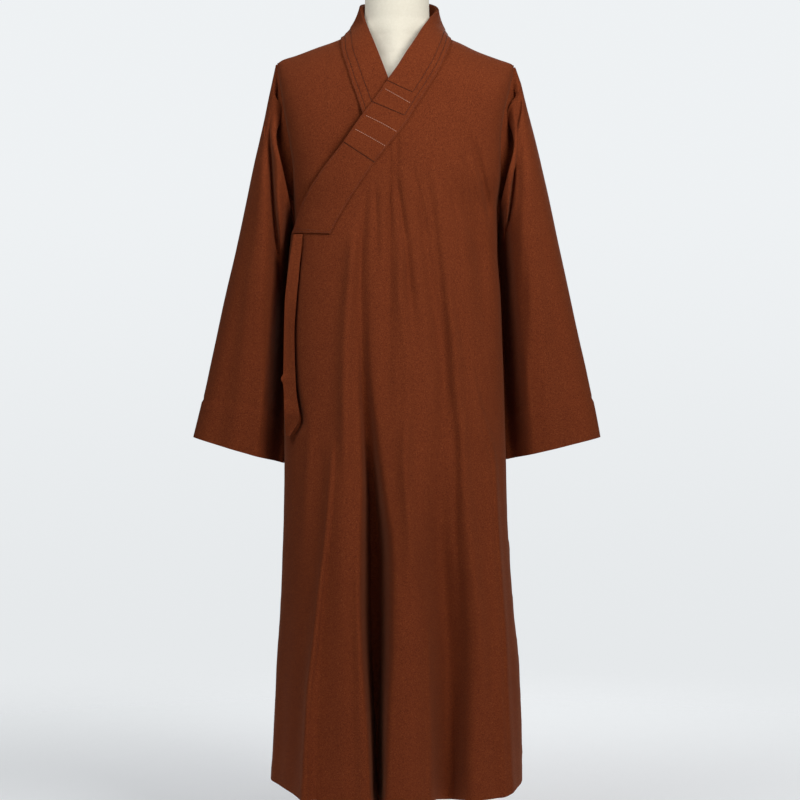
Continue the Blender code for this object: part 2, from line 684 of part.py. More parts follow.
def build_form(fabric, wood, metal, base_paint):
    count = 32
    turn = np.arange(count) * 2 * math.pi / count
    heights = [760, 820, 880, 950, 1030, 1110, 1190, 1260, 1310, 1345, 1368, 1384, 1395.7,
               1404.7, 1411.7, 1419.2, 1426.7, 1434.2, 1441.7, 1450, 1459, 1470, 1482, 1524]
    points, faces = [], []
    for height in heights:
        level = np.full(count, float(height))
        left, right, front, back, extra_front, extra_back = (
            smooth_table(level, FORM, c) for c in range(1, 7))
        across = left + (right - left) * (1 - np.cos(turn)) / 2
        is_front = np.sin(turn) >= 0
        side = np.where(is_front, front, back) * np.abs(np.sin(turn)) ** 0.95
        middle = np.where(is_front, extra_front, extra_back)
        fade = step(np.abs(np.sin(turn)), 0.0, 0.35)
        out = side + middle * np.exp(-(across / NECK_BULGE) ** 2) * fade
        for x, y, z in zip(across, np.where(is_front, -out, out), level):
            points.append((x, y, z))
    rings = len(heights)
    for r in range(rings - 1):
        for c in range(count):
            d = (c + 1) % count
            faces.append((r * count + c, r * count + d, (r + 1) * count + d, (r + 1) * count + c))
    faces.append(tuple(range(count)))
    faces.append(tuple((rings - 1) * count + c for c in range(count)))
    add_object("form_body", points, faces, fabric)
    turned("form_cap", [(0, 1524.3), (56, 1524.3), (57, 1526), (56.5, 1532), (50, FORM_TOP - 1),
                        (40, FORM_TOP), (0, FORM_TOP)], 28, wood)
    turned("form_collar", [(POLE_RADIUS + SEAM, 724), (26, 724), (28, 727), (28, 752),
                           (34, 755), (34, FORM_HIP - SEAM), (POLE_RADIUS + SEAM, FORM_HIP - SEAM)],
           24, metal, hollow=True)
    turned("form_pole", [(0, BASE_THICK + SEAM), (POLE_RADIUS, BASE_THICK + SEAM),
                         (POLE_RADIUS, FORM_HIP - SEAM), (0, FORM_HIP - SEAM)], 24, metal)
    turned("form_socket", [(POLE_RADIUS + SEAM, BASE_THICK + SEAM), (34, BASE_THICK + SEAM),
                           (34, 22), (22, 34), (22, 56), (20, 58), (POLE_RADIUS + SEAM, 58)],
           24, metal, hollow=True)
    turned("form_base", [(0, 0), (BASE_RADIUS - 2, 0), (BASE_RADIUS, 2), (BASE_RADIUS, 9),
                         (BASE_RADIUS - 6, BASE_THICK), (0, BASE_THICK)], 48, base_paint)


def turned(name, profile, count, finish, hollow=False):
    """A solid of revolution about the Z axis from a profile of (radius, height)."""
    points, faces, rings = [], [], []
    for radius, height in profile:
        if radius == 0:
            rings.append([len(points)])
            points.append((0.0, 0.0, height))
            continue
        rings.append(list(range(len(points), len(points) + count)))
        for c in range(count):
            turn = 2 * math.pi * c / count
            points.append((radius * math.cos(turn), radius * math.sin(turn), height))
    pairs = list(zip(rings, rings[1:]))
    if hollow:
        pairs.append((rings[-1], rings[0]))
    for low, high in pairs:
        for c in range(count):
            d = (c + 1) % count
            if len(low) == 1:
                faces.append((low[0], high[d], high[c]))
            elif len(high) == 1:
                faces.append((low[c], low[d], high[0]))
            else:
                faces.append((low[c], low[d], high[d], high[c]))
    add_object(name, points, faces, finish)


def main():
    for old in list(bpy.data.objects):
        bpy.data.objects.remove(old, do_unlink=True)
    wool = material("russet wool", (0.165, 0.035, 0.012), 0.9)
    linen = material("cream linen", (0.80, 0.76, 0.68), 0.85)
    cap = material("cream cap", (0.78, 0.73, 0.64), 0.6)
    steel = material("brushed steel", (0.55, 0.55, 0.56), 0.35, 1.0)
    paint = material("white enamel", (0.82, 0.82, 0.80), 0.4)
    build_right_front(wool)
    build_left_front(wool)
    build_back(wool)
    build_sleeve("sleeve_right", SLEEVE_RIGHT, SLEEVE_FOLDS_RIGHT, -1, wool)
    build_sleeve("sleeve_left", SLEEVE_LEFT, SLEEVE_FOLDS_LEFT, 1, wool)
    build_collar(wool)
    build_tie(wool)
    build_form(linen, cap, steel, paint)


main()
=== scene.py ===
import math

import bpy
import numpy as np
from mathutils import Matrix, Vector, noise


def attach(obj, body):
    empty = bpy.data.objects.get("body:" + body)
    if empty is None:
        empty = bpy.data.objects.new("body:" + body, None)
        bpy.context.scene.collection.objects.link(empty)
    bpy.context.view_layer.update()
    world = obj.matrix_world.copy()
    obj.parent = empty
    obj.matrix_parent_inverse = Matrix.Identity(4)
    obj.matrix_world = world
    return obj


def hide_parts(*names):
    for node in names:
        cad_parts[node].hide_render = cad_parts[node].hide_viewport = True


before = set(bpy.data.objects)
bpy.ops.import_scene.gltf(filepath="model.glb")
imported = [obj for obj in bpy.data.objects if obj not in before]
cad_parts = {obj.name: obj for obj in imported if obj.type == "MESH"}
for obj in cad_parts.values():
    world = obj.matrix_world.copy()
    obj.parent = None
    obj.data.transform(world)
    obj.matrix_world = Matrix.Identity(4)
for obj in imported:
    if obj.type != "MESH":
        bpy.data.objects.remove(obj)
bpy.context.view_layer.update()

MM = 0.001

# ---- driving sizes, in millimetres -------------------------------------------------------------
# Those that part.py has too are the same there, apart from the cloth's wall, which is 2.0 mm.
HEM_HEIGHT = 130.0          # hem above the floor
CLOTH = 1.8                 # wall of the robe's cloth
BAND = 1.0                  # wall of one layer of the collar
SEAM = 0.3                  # gap between pieces that are sewn together
SHOULDER_ROUND = 105.0      # height over which the cloth rounds over the shoulder
ARMHOLE_GAP = 0.8           # gap between a sleeve and the edge of its armhole
BEND_SHARE = 30.0           # length that a bend of one radian counts for, when columns are spread
UNDERARM_HEIGHT = 1135.0    # where the sleeve's seam meets the side seam
TIE_WALL = 1.2
TIE_CLEAR = 0.9             # gap between the tie's inner edge and the front
TIE_LEAN = 3.0              # how much further back its outer edge hangs
PLAIN_TOP = 1150.0          # columns that start below this have a plain spread of rows
SHOULDER_TOP = 1390.0       # columns that start above this have the shoulder's spread
TURN_SMOOTHING = 3          # times that the columns' places are evened out up and down the cloth
SOLID_ROWS = 25             # rows of the outer front's solid, whose spread all panels follow here
RIDGE_REACH = 2.0           # a column that ends this near the shoulder's ridge runs up to it
FORM_HIP = 760.0            # flat underside of the torso

# The robe's body: outline of the sides, depth of front and back, squareness of the section
# (1 is an ellipse, lower is squarer), and how far the armhole's edges stand from the middle.
BODY = [
    # height, left, right, front, back, square, arm
    (130, -219.5, 220.5, 190, 158, 0.56, 0),
    (200, -215.5, 220.5, 187, 156, 0.57, 0),
    (330, -210.3, 216, 178, 150, 0.60, 0),
    (450, -203, 204.8, 168, 142, 0.63, 0),
    (600, -198, 195.5, 156, 132, 0.66, 0),
    (700, -197, 193, 148, 125, 0.70, 0),
    (850, -198, 189, 137, 116, 0.74, 0),
    (980, -195, 184, 129, 112, 0.78, 0),
    (1070, -188, 178, 125, 113, 0.80, 0),
    (1135, -183, 178, 122, 114, 0.80, 0),
    (1200, -183, 183, 119, 114, 0.78, 26),
    (1260, -190, 183, 115, 112, 0.76, 33),
    (1310, -199, 189, 111, 109, 0.74, 30),
    (1360, -207, 201, 106, 105, 0.72, 18),
    (1400, -213, 208, 101, 101, 0.70, 3),
    (1520, -214, 210, 90, 96, 0.70, 0),
]

# The tops of the shoulders, seen from the front: across, height.
SHOULDER_RIGHT = [(-214, 1401), (-203, 1408), (-180, 1415), (-139, 1430), (-118, 1437)]
SHOULDER_LEFT = [(94, 1445), (112, 1437), (141, 1423), (182, 1408), (203, 1401), (210, 1396)]
# Both of them, with the slope carried on up to the neck.
SHOULDER = SHOULDER_RIGHT + [(-96, 1446), (-60, 1470), (0, 1488), (60, 1470)] + SHOULDER_LEFT

# Folds of the front: each is a line down the cloth; push is outward, width is its half width.
FRONT_FOLDS = {
    "crease at the right side": [
        (760, -120, 0, 8), (680, -117, 3, 7), (560, -124, 6, 8), (430, -138, 9, 9),
        (300, -148, 13, 10), (130, -158, 16, 12),
    ],
    "roll beside the pleat, right": [
        (1120, -78, 0, 12), (1060, -78, 4, 13), (900, -92, 5, 15), (760, -90, 7, 18),
        (660, -98, 8, 20), (520, -92, 8, 24), (300, -88, 5, 24), (130, -84, 4, 24),
    ],
    "roll beside the pleat, left": [
        (900, -5, 0, 14), (800, 3, 4, 16), (690, 14, 8, 20), (560, 22, 10, 24),
        (400, 16, 9, 26), (130, 12, 8, 26),
    ],
    "hollow at the left": [
        (860, 80, 0, 15), (720, 78, -10, 18), (633, 77, -21, 23), (548, 77, -37, 27),
        (464, 82, -51, 30), (380, 87, -60, 30), (294, 88, -65, 29), (130, 87, -68, 27),
    ],
    "crease at the left side": [
        (860, 118, 0, 8), (770, 138, 4, 8), (670, 162, 7, 9), (560, 168, 8, 10),
        (420, 178, 9, 11), (260, 182, 11, 12), (130, 190, 13, 13),
    ],
    "fold under the crossing": [
        (1230, -10, 0, 6), (1190, -10, -4.5, 8), (1100, -11, -6, 9), (1000, -13, -6, 10),
        (860, -14, -5, 11), (760, -16, 0, 12),
    ],
    "fold under the band": [
        (1175, -50, 0, 7), (1120, -56, -5, 8), (1040, -62, -8, 10), (900, -60, -9.5, 12),
        (790, -54, -9, 13), (720, -50, 0, 14),
    ],
    "slanting fold of the chest": [
        (1210, 95, 0, 12), (1150, 112, -6, 12), (1080, 136, -10, 13), (980, 150, -8, 15),
        (880, 158, 0, 18),
    ],
    "long slanting fold": [
        (1230, 48, 0, 12), (1120, 62, -6, 13), (1000, 76, -10, 14), (860, 82, -12, 15),
        (760, 84, -7, 16), (700, 86, 0, 18),
    ],
}

# The deep pleat in the middle of the front, with a steep left lip and a softer right one.
PLEAT = [
    # height, across, depth, half width
    (980, -56, 0, 8), (900, -57, 3, 9), (850, -56, 7, 10), (800, -53, 12, 11),
    (760, -49.5, 20, 12.5), (718, -46.5, 34, 14), (633, -41, 64, 17),
    (531, -37, 88, 22), (464, -37, 98, 22), (379, -36, 104, 20.5), (294, -35, 108, 16),
    (209, -33, 106, 12.5), (130, -32, 100, 10),
]
PLEAT_LIPS = (5, 3.2)       # how sharply its left lip and its right one turn down
SIDE_FALL = 0.55            # how steeply the skirt falls back beside its crease at the right
SIDE_FALL_TOP = 720.0       # height at which this fall begins
SIDE_FALL_START = 2.0       # how far from the crease it begins
SIDE_FALL_SOFT = 10.0       # length over which it steepens
FOLD_MARGIN = (0.10, 0.45)  # sines of the turn over which the folds fade out towards the seams
SLOPE_STEP = 2.0            # distance each way over which the surface's slope is measured

# Folds of the back, which hangs from the shoulder blades.
BACK_FOLDS = {
    "middle fold": [
        (1000, 12, 0, 20), (850, 10, -5, 24), (600, 6, -16, 28), (350, 2, -28, 30),
        (130, 0, -36, 30),
    ],
    "right fold": [
        (900, -78, 0, 18), (700, -88, -8, 22), (450, -98, -18, 26), (130, -108, -28, 28),
    ],
    "left fold": [
        (980, 76, 0, 18), (760, 86, -7, 22), (480, 98, -16, 26), (130, 112, -26, 28),
    ],
    "right roll": [
        (860, -36, 0, 20), (600, -44, 6, 24), (130, -54, 13, 28),
    ],
    "left roll": [
        (900, 44, 0, 20), (640, 50, 6, 24), (130, 60, 12, 28),
    ],
}


def smooth_table(heights, table, column):
    """Read a table's column at the given heights, on a curve through its rows that never
    overshoots them (cubic Hermite with harmonic slopes)."""
    rows = sorted(table)
    knots = np.array([row[0] for row in rows], float)
    values = np.array([row[column] for row in rows], float)
    secants = np.diff(values) / np.diff(knots)
    before, after = secants[:-1], secants[1:]
    level = before * after <= 0
    inner = np.where(level, 0.0, 2 * before * after / np.where(level, 1.0, before + after))
    slopes = np.concatenate([[secants[0]], inner, [secants[-1]]])
    at = np.clip(heights, knots[0], knots[-1])
    index = np.clip(np.searchsorted(knots, at) - 1, 0, len(knots) - 2)
    span = knots[index + 1] - knots[index]
    u = (at - knots[index]) / span
    return (values[index] * (1 + 2 * u) * (1 - u) ** 2 + slopes[index] * span * u * (1 - u) ** 2
            + values[index + 1] * u * u * (3 - 2 * u)
            + slopes[index + 1] * span * u * u * (u - 1))


def step(values, low, high):
    """0 below low, 1 above high, smooth between."""
    u = np.clip((values - low) / (high - low), 0, 1)
    return u * u * (3 - 2 * u)


def bell(values, centre, width):
    """1 at the centre, falling off smoothly to both sides."""
    return np.exp(-((values - centre) / width) ** 2)


def pleat_push(across, height):
    """The pleat's push inward, steeper at its left lip than at its right one."""
    away = (across - smooth_table(height, PLEAT, 1)) / smooth_table(height, PLEAT, 3)
    shape = np.where(away < 0, np.exp(-np.abs(away) ** PLEAT_LIPS[0]),
                     np.exp(-np.abs(away) ** PLEAT_LIPS[1]))
    return -smooth_table(height, PLEAT, 2) * shape


def side_fall(across, height):
    """The skirt falls back from its crease at the right to the side seam."""
    crease = smooth_table(height, FRONT_FOLDS["crease at the right side"], 1)
    beyond = np.clip(crease - SIDE_FALL_START - across, 0, None)
    share = SIDE_FALL * (1 - step(height, HEM_HEIGHT, SIDE_FALL_TOP))
    return -share * beyond ** 2 / (beyond + SIDE_FALL_SOFT)


def folds_push(across, height, folds):
    """Sum of the folds' outward push at points of the cloth."""
    total = 0.0 * across
    if "crease at the right side" in folds:
        total = pleat_push(across, height) + side_fall(across, height)
    for rows in folds.values():
        centre, push, width = (smooth_table(height, rows, column) for column in (1, 2, 3))
        total += push * bell(across, centre, width)
    return total


def body_point(turn, height, side, folds):
    """A point of the robe's outer surface: turn runs 0 to pi from the right side seam to the
    left, side is -1 for the front and 1 for the back."""
    left = smooth_table(height, BODY, 1)
    right = smooth_table(height, BODY, 2)
    depth = smooth_table(height, BODY, 3 if side < 0 else 4)
    square = smooth_table(height, BODY, 5)
    arm = smooth_table(height, BODY, 6)
    across = left + (right - left) * (1 - np.cos(turn)) / 2
    ridge = smooth_table(across, SHOULDER, 1)
    drop = np.clip((ridge - height) / SHOULDER_ROUND, 0, 1)
    over = np.sqrt(np.clip(1 - (1 - drop) ** 2, 0, 1))
    bulge = np.sin(turn) ** square
    inside = step(np.sin(turn), *FOLD_MARGIN)
    out = arm + (depth - arm) * bulge
    out = out * over + folds_push(across, height, folds) * inside * over
    return np.stack([across, side * out, height + 0 * across], axis=-1)


def turn_of(across, height):
    """The turn at which the section at this height reaches this place across."""
    left = smooth_table(height, BODY, 1)
    right = smooth_table(height, BODY, 2)
    return np.arccos(np.clip(1 - 2 * (across - left) / (right - left), -1, 1))


def chest_point(across, height, out):
    """A point this far out from the front's plain surface, along the surface's normal there."""
    across = np.asarray(across, float)
    height = np.asarray(height, float)

    def at(a, h):
        return body_point(turn_of(a, h), h, -1, FRONT_FOLDS)

    here = at(across, height)
    along = at(across + SLOPE_STEP, height) - at(across - SLOPE_STEP, height)
    up = at(across, height + SLOPE_STEP) - at(across, height - SLOPE_STEP)
    normal = np.cross(along, up)
    normal /= np.linalg.norm(normal, axis=-1, keepdims=True)
    return here + normal * np.asarray(out, float)[..., None]


CROSSING = (-36, 1322)      # where the collar passes under the outer front: across, height
CROSSING_LIFT = 7.0         # how far it lifts the front there
CROSSING_REACH = (50, 160)  # distances at which the lift begins to fade, and at which it is gone
CROSSING_TALL = 1.25        # how much further it reaches up and down than across


def crossing_raise(across, height):
    """How far the outer front is lifted by the collar that passes under it."""
    far = np.hypot(across - CROSSING[0], (height - CROSSING[1]) / CROSSING_TALL)
    return CROSSING_LIFT * (1 - step(far, *CROSSING_REACH))


FINE_FRONT_FOLDS = {
    # height, across, push, width: narrow creases and soft lines, laid over the large folds
    "centre crease": [
        (1250, -12, 0, 3), (1225, -12, -1.6, 3.5), (1130, -11.5, -1.2, 4), (1060, -12, -0.4, 5),
        (1010, -12, 0, 6),
    ],
    "short crease": [
        (1262, 2, 0, 5), (1240, 2, -1.8, 6), (1180, 0, -1.6, 7), (1130, -2, 0, 8),
    ],
    "ridge under the band": [
        (1085, -74, 0, 7), (1050, -77, 1.8, 8), (930, -86, 2.6, 9), (800, -89, 2.8, 9),
        (740, -88, 2.4, 9), (640, -85, 1.0, 10), (560, -84, 0, 12),
    ],
    "ridge right of the fold": [
        (1105, 12, 0, 8), (1060, 10, 1.8, 8), (990, 6, 2.0, 9), (918, 15, 2.2, 10),
        (803, 19, 2.8, 10), (689, 15, 3.0, 10), (577, 22, 2.4, 10), (470, 26, 0, 12),
    ],
    "crease of the chest": [
        (1150, 40, 0, 7), (1090, 47, -3.0, 9), (1000, 58, -4.0, 10), (930, 66, -3.0, 11),
        (840, 74, 0, 12),
    ],
    "ridge of the chest": [
        (1215, 58, 0, 8), (1150, 69, 1.6, 9), (1055, 79, 2.6, 10), (920, 96, 3.2, 11),
        (800, 104, 3.0, 12), (700, 110, 0, 13),
    ],
    "crease by the waist": [
        (1010, 92, 0, 8), (960, 103, -2.0, 9), (860, 129, -2.4, 10), (780, 146, 0, 11),
    ],
    "ridge by the side": [
        (920, 118, 0, 5), (885, 125, 1.8, 6), (800, 141, 2.8, 5.5), (690, 170, 4.2, 5),
        (610, 174, 4.6, 5), (530, 179, 4.6, 5), (480, 183, 4.2, 5), (400, 188, 4.0, 5),
        (300, 192, 4.0, 5.5), (200, 197, 4.0, 6), (130, 200, 4.0, 6),
    ],
    "crease to the armhole": [
        (1275, 124, 0, 9), (1215, 141, -4.0, 8), (1160, 156, -4.8, 7), (1110, 164, 0, 7),
    ],
    "second crease to the armhole": [
        (1290, 108, 0, 8), (1240, 118, -2.2, 9), (1150, 134, -3.2, 9), (1060, 150, -2.4, 10),
        (1000, 158, 0, 10),
    ],
    "trough of the skirt": [
        (830, 98, 0, 9), (760, 99, -2.4, 9), (605, 101, -2.8, 9), (486, 108, -2.6, 10),
        (379, 112, -2.4, 12), (294, 108, -2.2, 13), (180, 98, -2.0, 14), (125, 92, -2.0, 14),
    ],
    "ridge of the skirt": [
        (780, 114, 0, 9), (740, 113, 2.0, 9), (577, 125, 2.6, 10), (408, 143, 2.6, 11),
        (250, 150, 0, 14),
    ],
    "line of the skirt": [
        (420, 52, 0, 5), (362, 55, 2.0, 6), (240, 57, 2.8, 6), (130, 58, 3.2, 7),
    ],
    "faint ridge at the side": [
        (790, -146, 0, 8), (720, -150, 1.5, 9), (640, -155, 1.4, 9), (520, -160, 0, 10),
    ],
    "sharp crease at the right": [
        (740, -108, 0, 4), (690, -110.5, 1.8, 4), (577, -119, 2.3, 3.6), (486, -130, 2.6, 3.6),
        (396, -139, 2.8, 3.6), (294, -151, 2.9, 3.6), (192, -156, 3.0, 4), (125, -157, 3.1, 4.5),
    ],
    "lip of the pleat": [
        (560, -68, 0, 6), (480, -66, 1.8, 7), (330, -62, 2.7, 8), (130, -56, 2.7, 9),
    ],
    "second fold from the crossing": [
        (1195, 1, 0, 6), (1150, 5, -2.6, 6), (1083, 13, -3.6, 7), (1018, 20, -3.6, 8),
        (940, 27, -2.0, 9), (880, 32, 0, 10),
    ],
    "faint fold from the band": [
        (1185, -36, 0, 5), (1140, -36, -1.8, 6), (1080, -34, -1.6, 6), (1020, -34, 0, 7),
    ],
    "slanting line, first": [
        (1225, 22, 0, 5), (1190, 30, -1.3, 5), (1120, 46, -1.5, 6), (1060, 56, 0, 7),
    ],
    "crease beside the tie": [
        (1092, -161, 0, 3), (1075, -161.5, -1.9, 3), (1032, -168, -2.9, 3.2),
        (963, -174.5, -3.3, 3.4), (912, -177, -3.3, 3.6), (836, -174, -4.3, 4.2),
        (800, -169, -5.6, 4.6), (767, -163, -5.6, 4.6), (748, -172, -3.5, 5), (730, -182, 0, 5),
    ],
    "slanting line, second": [
        (1235, 80, 0, 6), (1190, 90, -1.2, 6), (1110, 104, -1.5, 7), (1040, 114, 0, 8),
    ],
}
FINE_BACK_FOLDS = {
    "blade crease, right": [
        (1180, -108, 0, 8), (1120, -98, -2.2, 9), (1010, -82, -3.0, 10), (880, -72, -2.2, 12),
        (760, -68, 0, 14),
    ],
    "blade crease, left": [
        (1160, 112, 0, 8), (1100, 103, -2.0, 9), (980, 88, -2.8, 10), (860, 80, -2.0, 12),
        (720, 78, 0, 14),
    ],
    "middle ridge": [
        (1090, -16, 0, 8), (1000, -14, 2.0, 9), (820, -18, 2.8, 10), (640, -24, 2.2, 12),
        (500, -26, 0, 14),
    ],
    "second ridge": [
        (1010, 36, 0, 8), (900, 34, 2.0, 9), (700, 34, 2.4, 11), (560, 32, 0, 12),
    ],
    "crease beside the middle": [
        (800, 20, 0, 8), (640, 22, -3.0, 9), (420, 30, -4.5, 10), (240, 34, -4.5, 12),
        (130, 36, -4.0, 13),
    ],
    "sharp ridge at the right": [
        (620, -134, 0, 5), (540, -138, 2.4, 5), (380, -146, 3.2, 5), (220, -154, 3.4, 6),
        (130, -158, 3.4, 6),
    ],
    "sharp ridge at the left": [
        (700, 140, 0, 5), (600, 146, 2.4, 5), (440, 158, 3.0, 5), (280, 164, 3.0, 6),
        (130, 168, 3.0, 7),
    ],
    "side hollow": [
        (960, 148, 0, 9), (880, 144, -2.2, 10), (760, 138, 0, 12),
    ],
    "side hollow, right": [
        (1000, -150, 0, 9), (900, -144, -2.0, 10), (800, -140, 0, 12),
    ],
    "slant under the armhole": [
        (1150, -156, 0, 8), (1110, -148, -2.6, 8), (1060, -136, -2.0, 9), (1010, -128, 0, 10),
    ],
    "slant under the armhole, left": [
        (1145, 152, 0, 8), (1100, 143, -2.4, 8), (1040, 130, -2.0, 9), (990, 122, 0, 10),
    ],
}


# ---- grids -------------------------------------------------------------------------------------

ROUND_ANGLES = [0, 15, 31, 47, 64, 82]      # rows over the shoulder's round, in degrees
ARM_DROPS = [20, 50, 82, 116, 152, 190]     # rows at the armhole, below that round
PLAIN_POWER = 1.25          # power that brings a plain spread's rows closer together at the top
LEVELS = 60                 # levels at which a panel's columns are spread
LEVELS_TOP = 1480.0         # and the highest of them


def grid_normals(grid):
    """Normals of a grid of points, rows by columns, from its neighbours' differences."""
    down = np.gradient(grid, axis=0)
    along = np.gradient(grid, axis=1)
    normal = np.cross(along, down)
    return normal / np.maximum(np.linalg.norm(normal, axis=-1, keepdims=True), 1e-9)


def behind(outer, thick, outward, closed=False, seam_side=0):
    """The inner face of a wall: the grid moved in along its normals.

    outward is 1 where the grid's rows and columns turn that way round, and -1 where they turn
    the other way. seam_side is -1 or 1 where the wall stops at the middle plane's front or back."""
    if closed:
        ring = np.concatenate([outer[:, -1:], outer, outer[:, :1]], axis=1)
        normal = grid_normals(ring)[:, 1:-1] * outward
    else:
        normal = grid_normals(outer) * outward
    inner = outer - normal * thick
    if seam_side:
        inner[..., 1] = seam_side * np.maximum(seam_side * inner[..., 1], SEAM / 2)
    return inner


def even_turns(height, count, side, folds, first, last):
    """Turns that cut the section at one height into stretches of even length, closer together
    where it bends."""
    fine = np.linspace(first, last, 500)
    curve = body_point(fine, np.full(500, height), side, folds)
    run = np.diff(curve, axis=0)[:, :2]
    heading = np.unwrap(np.arctan2(run[:, 1], run[:, 0]))
    bend = np.abs(np.gradient(heading))
    length = np.concatenate([[0], np.cumsum(np.linalg.norm(run, axis=1) + BEND_SHARE * bend)])
    return np.interp(np.linspace(0, length[-1], count), length, fine)


def drops(rows, top, bottom):
    """How far below its top line each row of a panel lies: close together over the shoulder's
    round, wider at the armhole and widest down the skirt. Columns that start lower, under the
    crossing, pass smoothly over to a plain spread."""
    reach = top - bottom
    round_rows = SHOULDER_ROUND * (1 - np.cos(np.radians(ROUND_ANGLES)))
    arm_rows = SHOULDER_ROUND + np.array(ARM_DROPS)
    skirt = rows - len(round_rows) - len(arm_rows)
    start = arm_rows[-1]
    skirt_rows = start + (reach - start) * np.arange(1, skirt + 1) / skirt
    plain_rows = np.linspace(0, 1, rows) ** PLAIN_POWER * reach
    from_shoulder = step(top, PLAIN_TOP, SHOULDER_TOP)
    return (from_shoulder * np.concatenate([round_rows, arm_rows, skirt_rows])
            + (1 - from_shoulder) * plain_rows)


def fine_drops(rows, top, bottom):
    """The rows of the outer front's solid, with more rows between them."""
    solid_rows = drops(SOLID_ROWS, top, bottom)
    return np.interp(np.linspace(0, SOLID_ROWS - 1, rows), np.arange(SOLID_ROWS), solid_rows)


def line_height(across, line):
    """Height of a line of (across, height) at these places across."""
    return np.interp(across, [p[0] for p in line], [p[1] for p in line])


def panel_levels(bottom):
    return np.linspace(bottom, LEVELS_TOP, LEVELS)


def panel_grid_between(top_line, bottom, rows, columns, side, folds, firsts, lasts):
    """A grid of points that hangs from a line drawn across the front or back.

    top_line is a table of (across, height). At each level the columns are spread evenly by
    length between a first and a last turn."""
    levels = panel_levels(bottom)
    large = {name: rows_of for name, rows_of in folds.items()
             if name in FRONT_FOLDS or name in BACK_FOLDS}
    turns = np.array([even_turns(level, columns, side, large, first, last)
                      for level, first, last in zip(levels, firsts, lasts)])
    for _ in range(TURN_SMOOTHING):
        turns[1:-1] = (turns[:-2] + 2 * turns[1:-1] + turns[2:]) / 4
    grid = np.zeros((rows, columns, 3))
    for c in range(columns):
        fine = np.linspace(bottom, levels[-1], 700)
        turn = np.interp(fine, levels, turns[:, c])
        left, right = smooth_table(fine, BODY, 1), smooth_table(fine, BODY, 2)
        across = left + (right - left) * (1 - np.cos(turn)) / 2
        line = np.minimum(line_height(across, top_line), smooth_table(across, SHOULDER, 1))
        above = np.nonzero(fine >= line)[0]
        reach = int(above[0]) if len(above) else len(fine) - 1
        below = max(reach - 1, 0)
        room_below, room_reach = line[below] - fine[below], line[reach] - fine[reach]
        top = fine[below] + (fine[reach] - fine[below]) * room_below / max(
            room_below - room_reach, 1e-9)
        heights = top - fine_drops(rows, top, bottom)
        at = np.interp(heights, levels, turns[:, c])
        grid[:, c] = body_point(at, heights, side, folds)
    ridge = smooth_table(grid[0, :, 0], SHOULDER, 1)
    on_ridge = grid[0, :, 2] > ridge - RIDGE_REACH
    grid[0, :, 1] = np.where(on_ridge, 0.0, grid[0, :, 1])
    grid[0, :, 2] = np.where(on_ridge, ridge, grid[0, :, 2])
    return grid


def panel_grid(top_line, bottom, rows, columns, side, folds):
    """A panel from one side seam to the other."""
    return panel_grid_between(top_line, bottom, rows, columns, side, folds,
                              np.zeros(LEVELS), np.full(LEVELS, math.pi))


# ---- the panels --------------------------------------------------------------------------------

RIGHT_FRONT_TOP = SHOULDER_RIGHT + [
    # across, height: under the collar, then down the hidden free edge
    (-98, 1445.3), (-95, 1446), (-92, 1436), (-87, 1411), (-77, 1381), (-70, 1356), (-62, 1334),
    (-46, 1286), (-25, 1240), (-9, 1180),
]
LEFT_FRONT_TOP = [
    # across, height: under the diagonal band, then under the collar
    (-190, 1088), (-173, 1114), (-157, 1148), (-128, 1193), (-86, 1244), (-54, 1291),
    (-32, 1320), (-10, 1352), (6, 1345), (30, 1332), (45, 1346), (62, 1375), (74, 1401),
    (85, 1424), (91, 1446),
] + SHOULDER_LEFT
BACK_TOP = SHOULDER_RIGHT + [
    # across, height: under the collar at the back of the neck
    (-96, 1446), (-86, 1454), (-60, 1459), (0, 1461), (60, 1459), (84, 1453),
] + SHOULDER_LEFT
RIGHT_FRONT_EDGE = [
    # height, across: free edge of the under front, hidden by the outer one
    (420, -104), (650, -104), (720, -96), (860, -14), (1000, -9), (1500, -9),
]
UNDER_FRONT_HEM = 420.0

FRONT_OVER = 2.8            # how far the outer front stands off where it covers the under front
FRONT_OVER_ENDS = (-22, 24) # across: all of that up to the first, none of it past the second
UNDER_COVERED = (-45, 12)   # distances below the outer front's top line over which sinking starts
UNDER_SINK = 4.9            # how far the under front sinks by the side seam
UNDER_SINK_MORE = [(2.1, -195, -165), (7.0, -160, -100)]    # and more: how far, from and to across
UNDER_DIP = (12.0, -56, 24) # a dip behind the pleat: depth, across, half width
UNDER_DIP_ENDS = (900, 1000)    # heights over which that dip ends
BACK_RISE = 5.5             # how far the back stands out towards the collar's foot
BACK_RISE_FROM = (1405, 1446)   # heights over which it begins
BACK_RISE_ENDS = (62, 92)   # distances from the middle over which it ends


def outer_front_out(across, height):
    """How far the outer front stands off the plain surface: over the under front, then more
    where the collar passes between them."""
    over_under = 1 - step(across, *FRONT_OVER_ENDS)
    return FRONT_OVER * over_under + crossing_raise(across, height)


def under_front_out(across, height):
    """The under front sinks a little where the outer front covers it."""
    covered = step(line_height(across, LEFT_FRONT_TOP) - height, *UNDER_COVERED)
    depth, centre, width = UNDER_DIP
    dip = depth * bell(across, centre, width) * (1 - step(height, *UNDER_DIP_ENDS))
    more = [far * step(across, low, high) for far, low, high in UNDER_SINK_MORE]
    return -covered * (sum(more, UNDER_SINK) + dip)


def back_out(across, height):
    """The back rises a little towards the collar that stands on it. It doesn't reach it all round:
    gaps stay open at the collar's foot beside the neck, the larger at the wearer's left."""
    return (BACK_RISE * step(height, *BACK_RISE_FROM)
            * (1 - step(np.abs(across), *BACK_RISE_ENDS)))


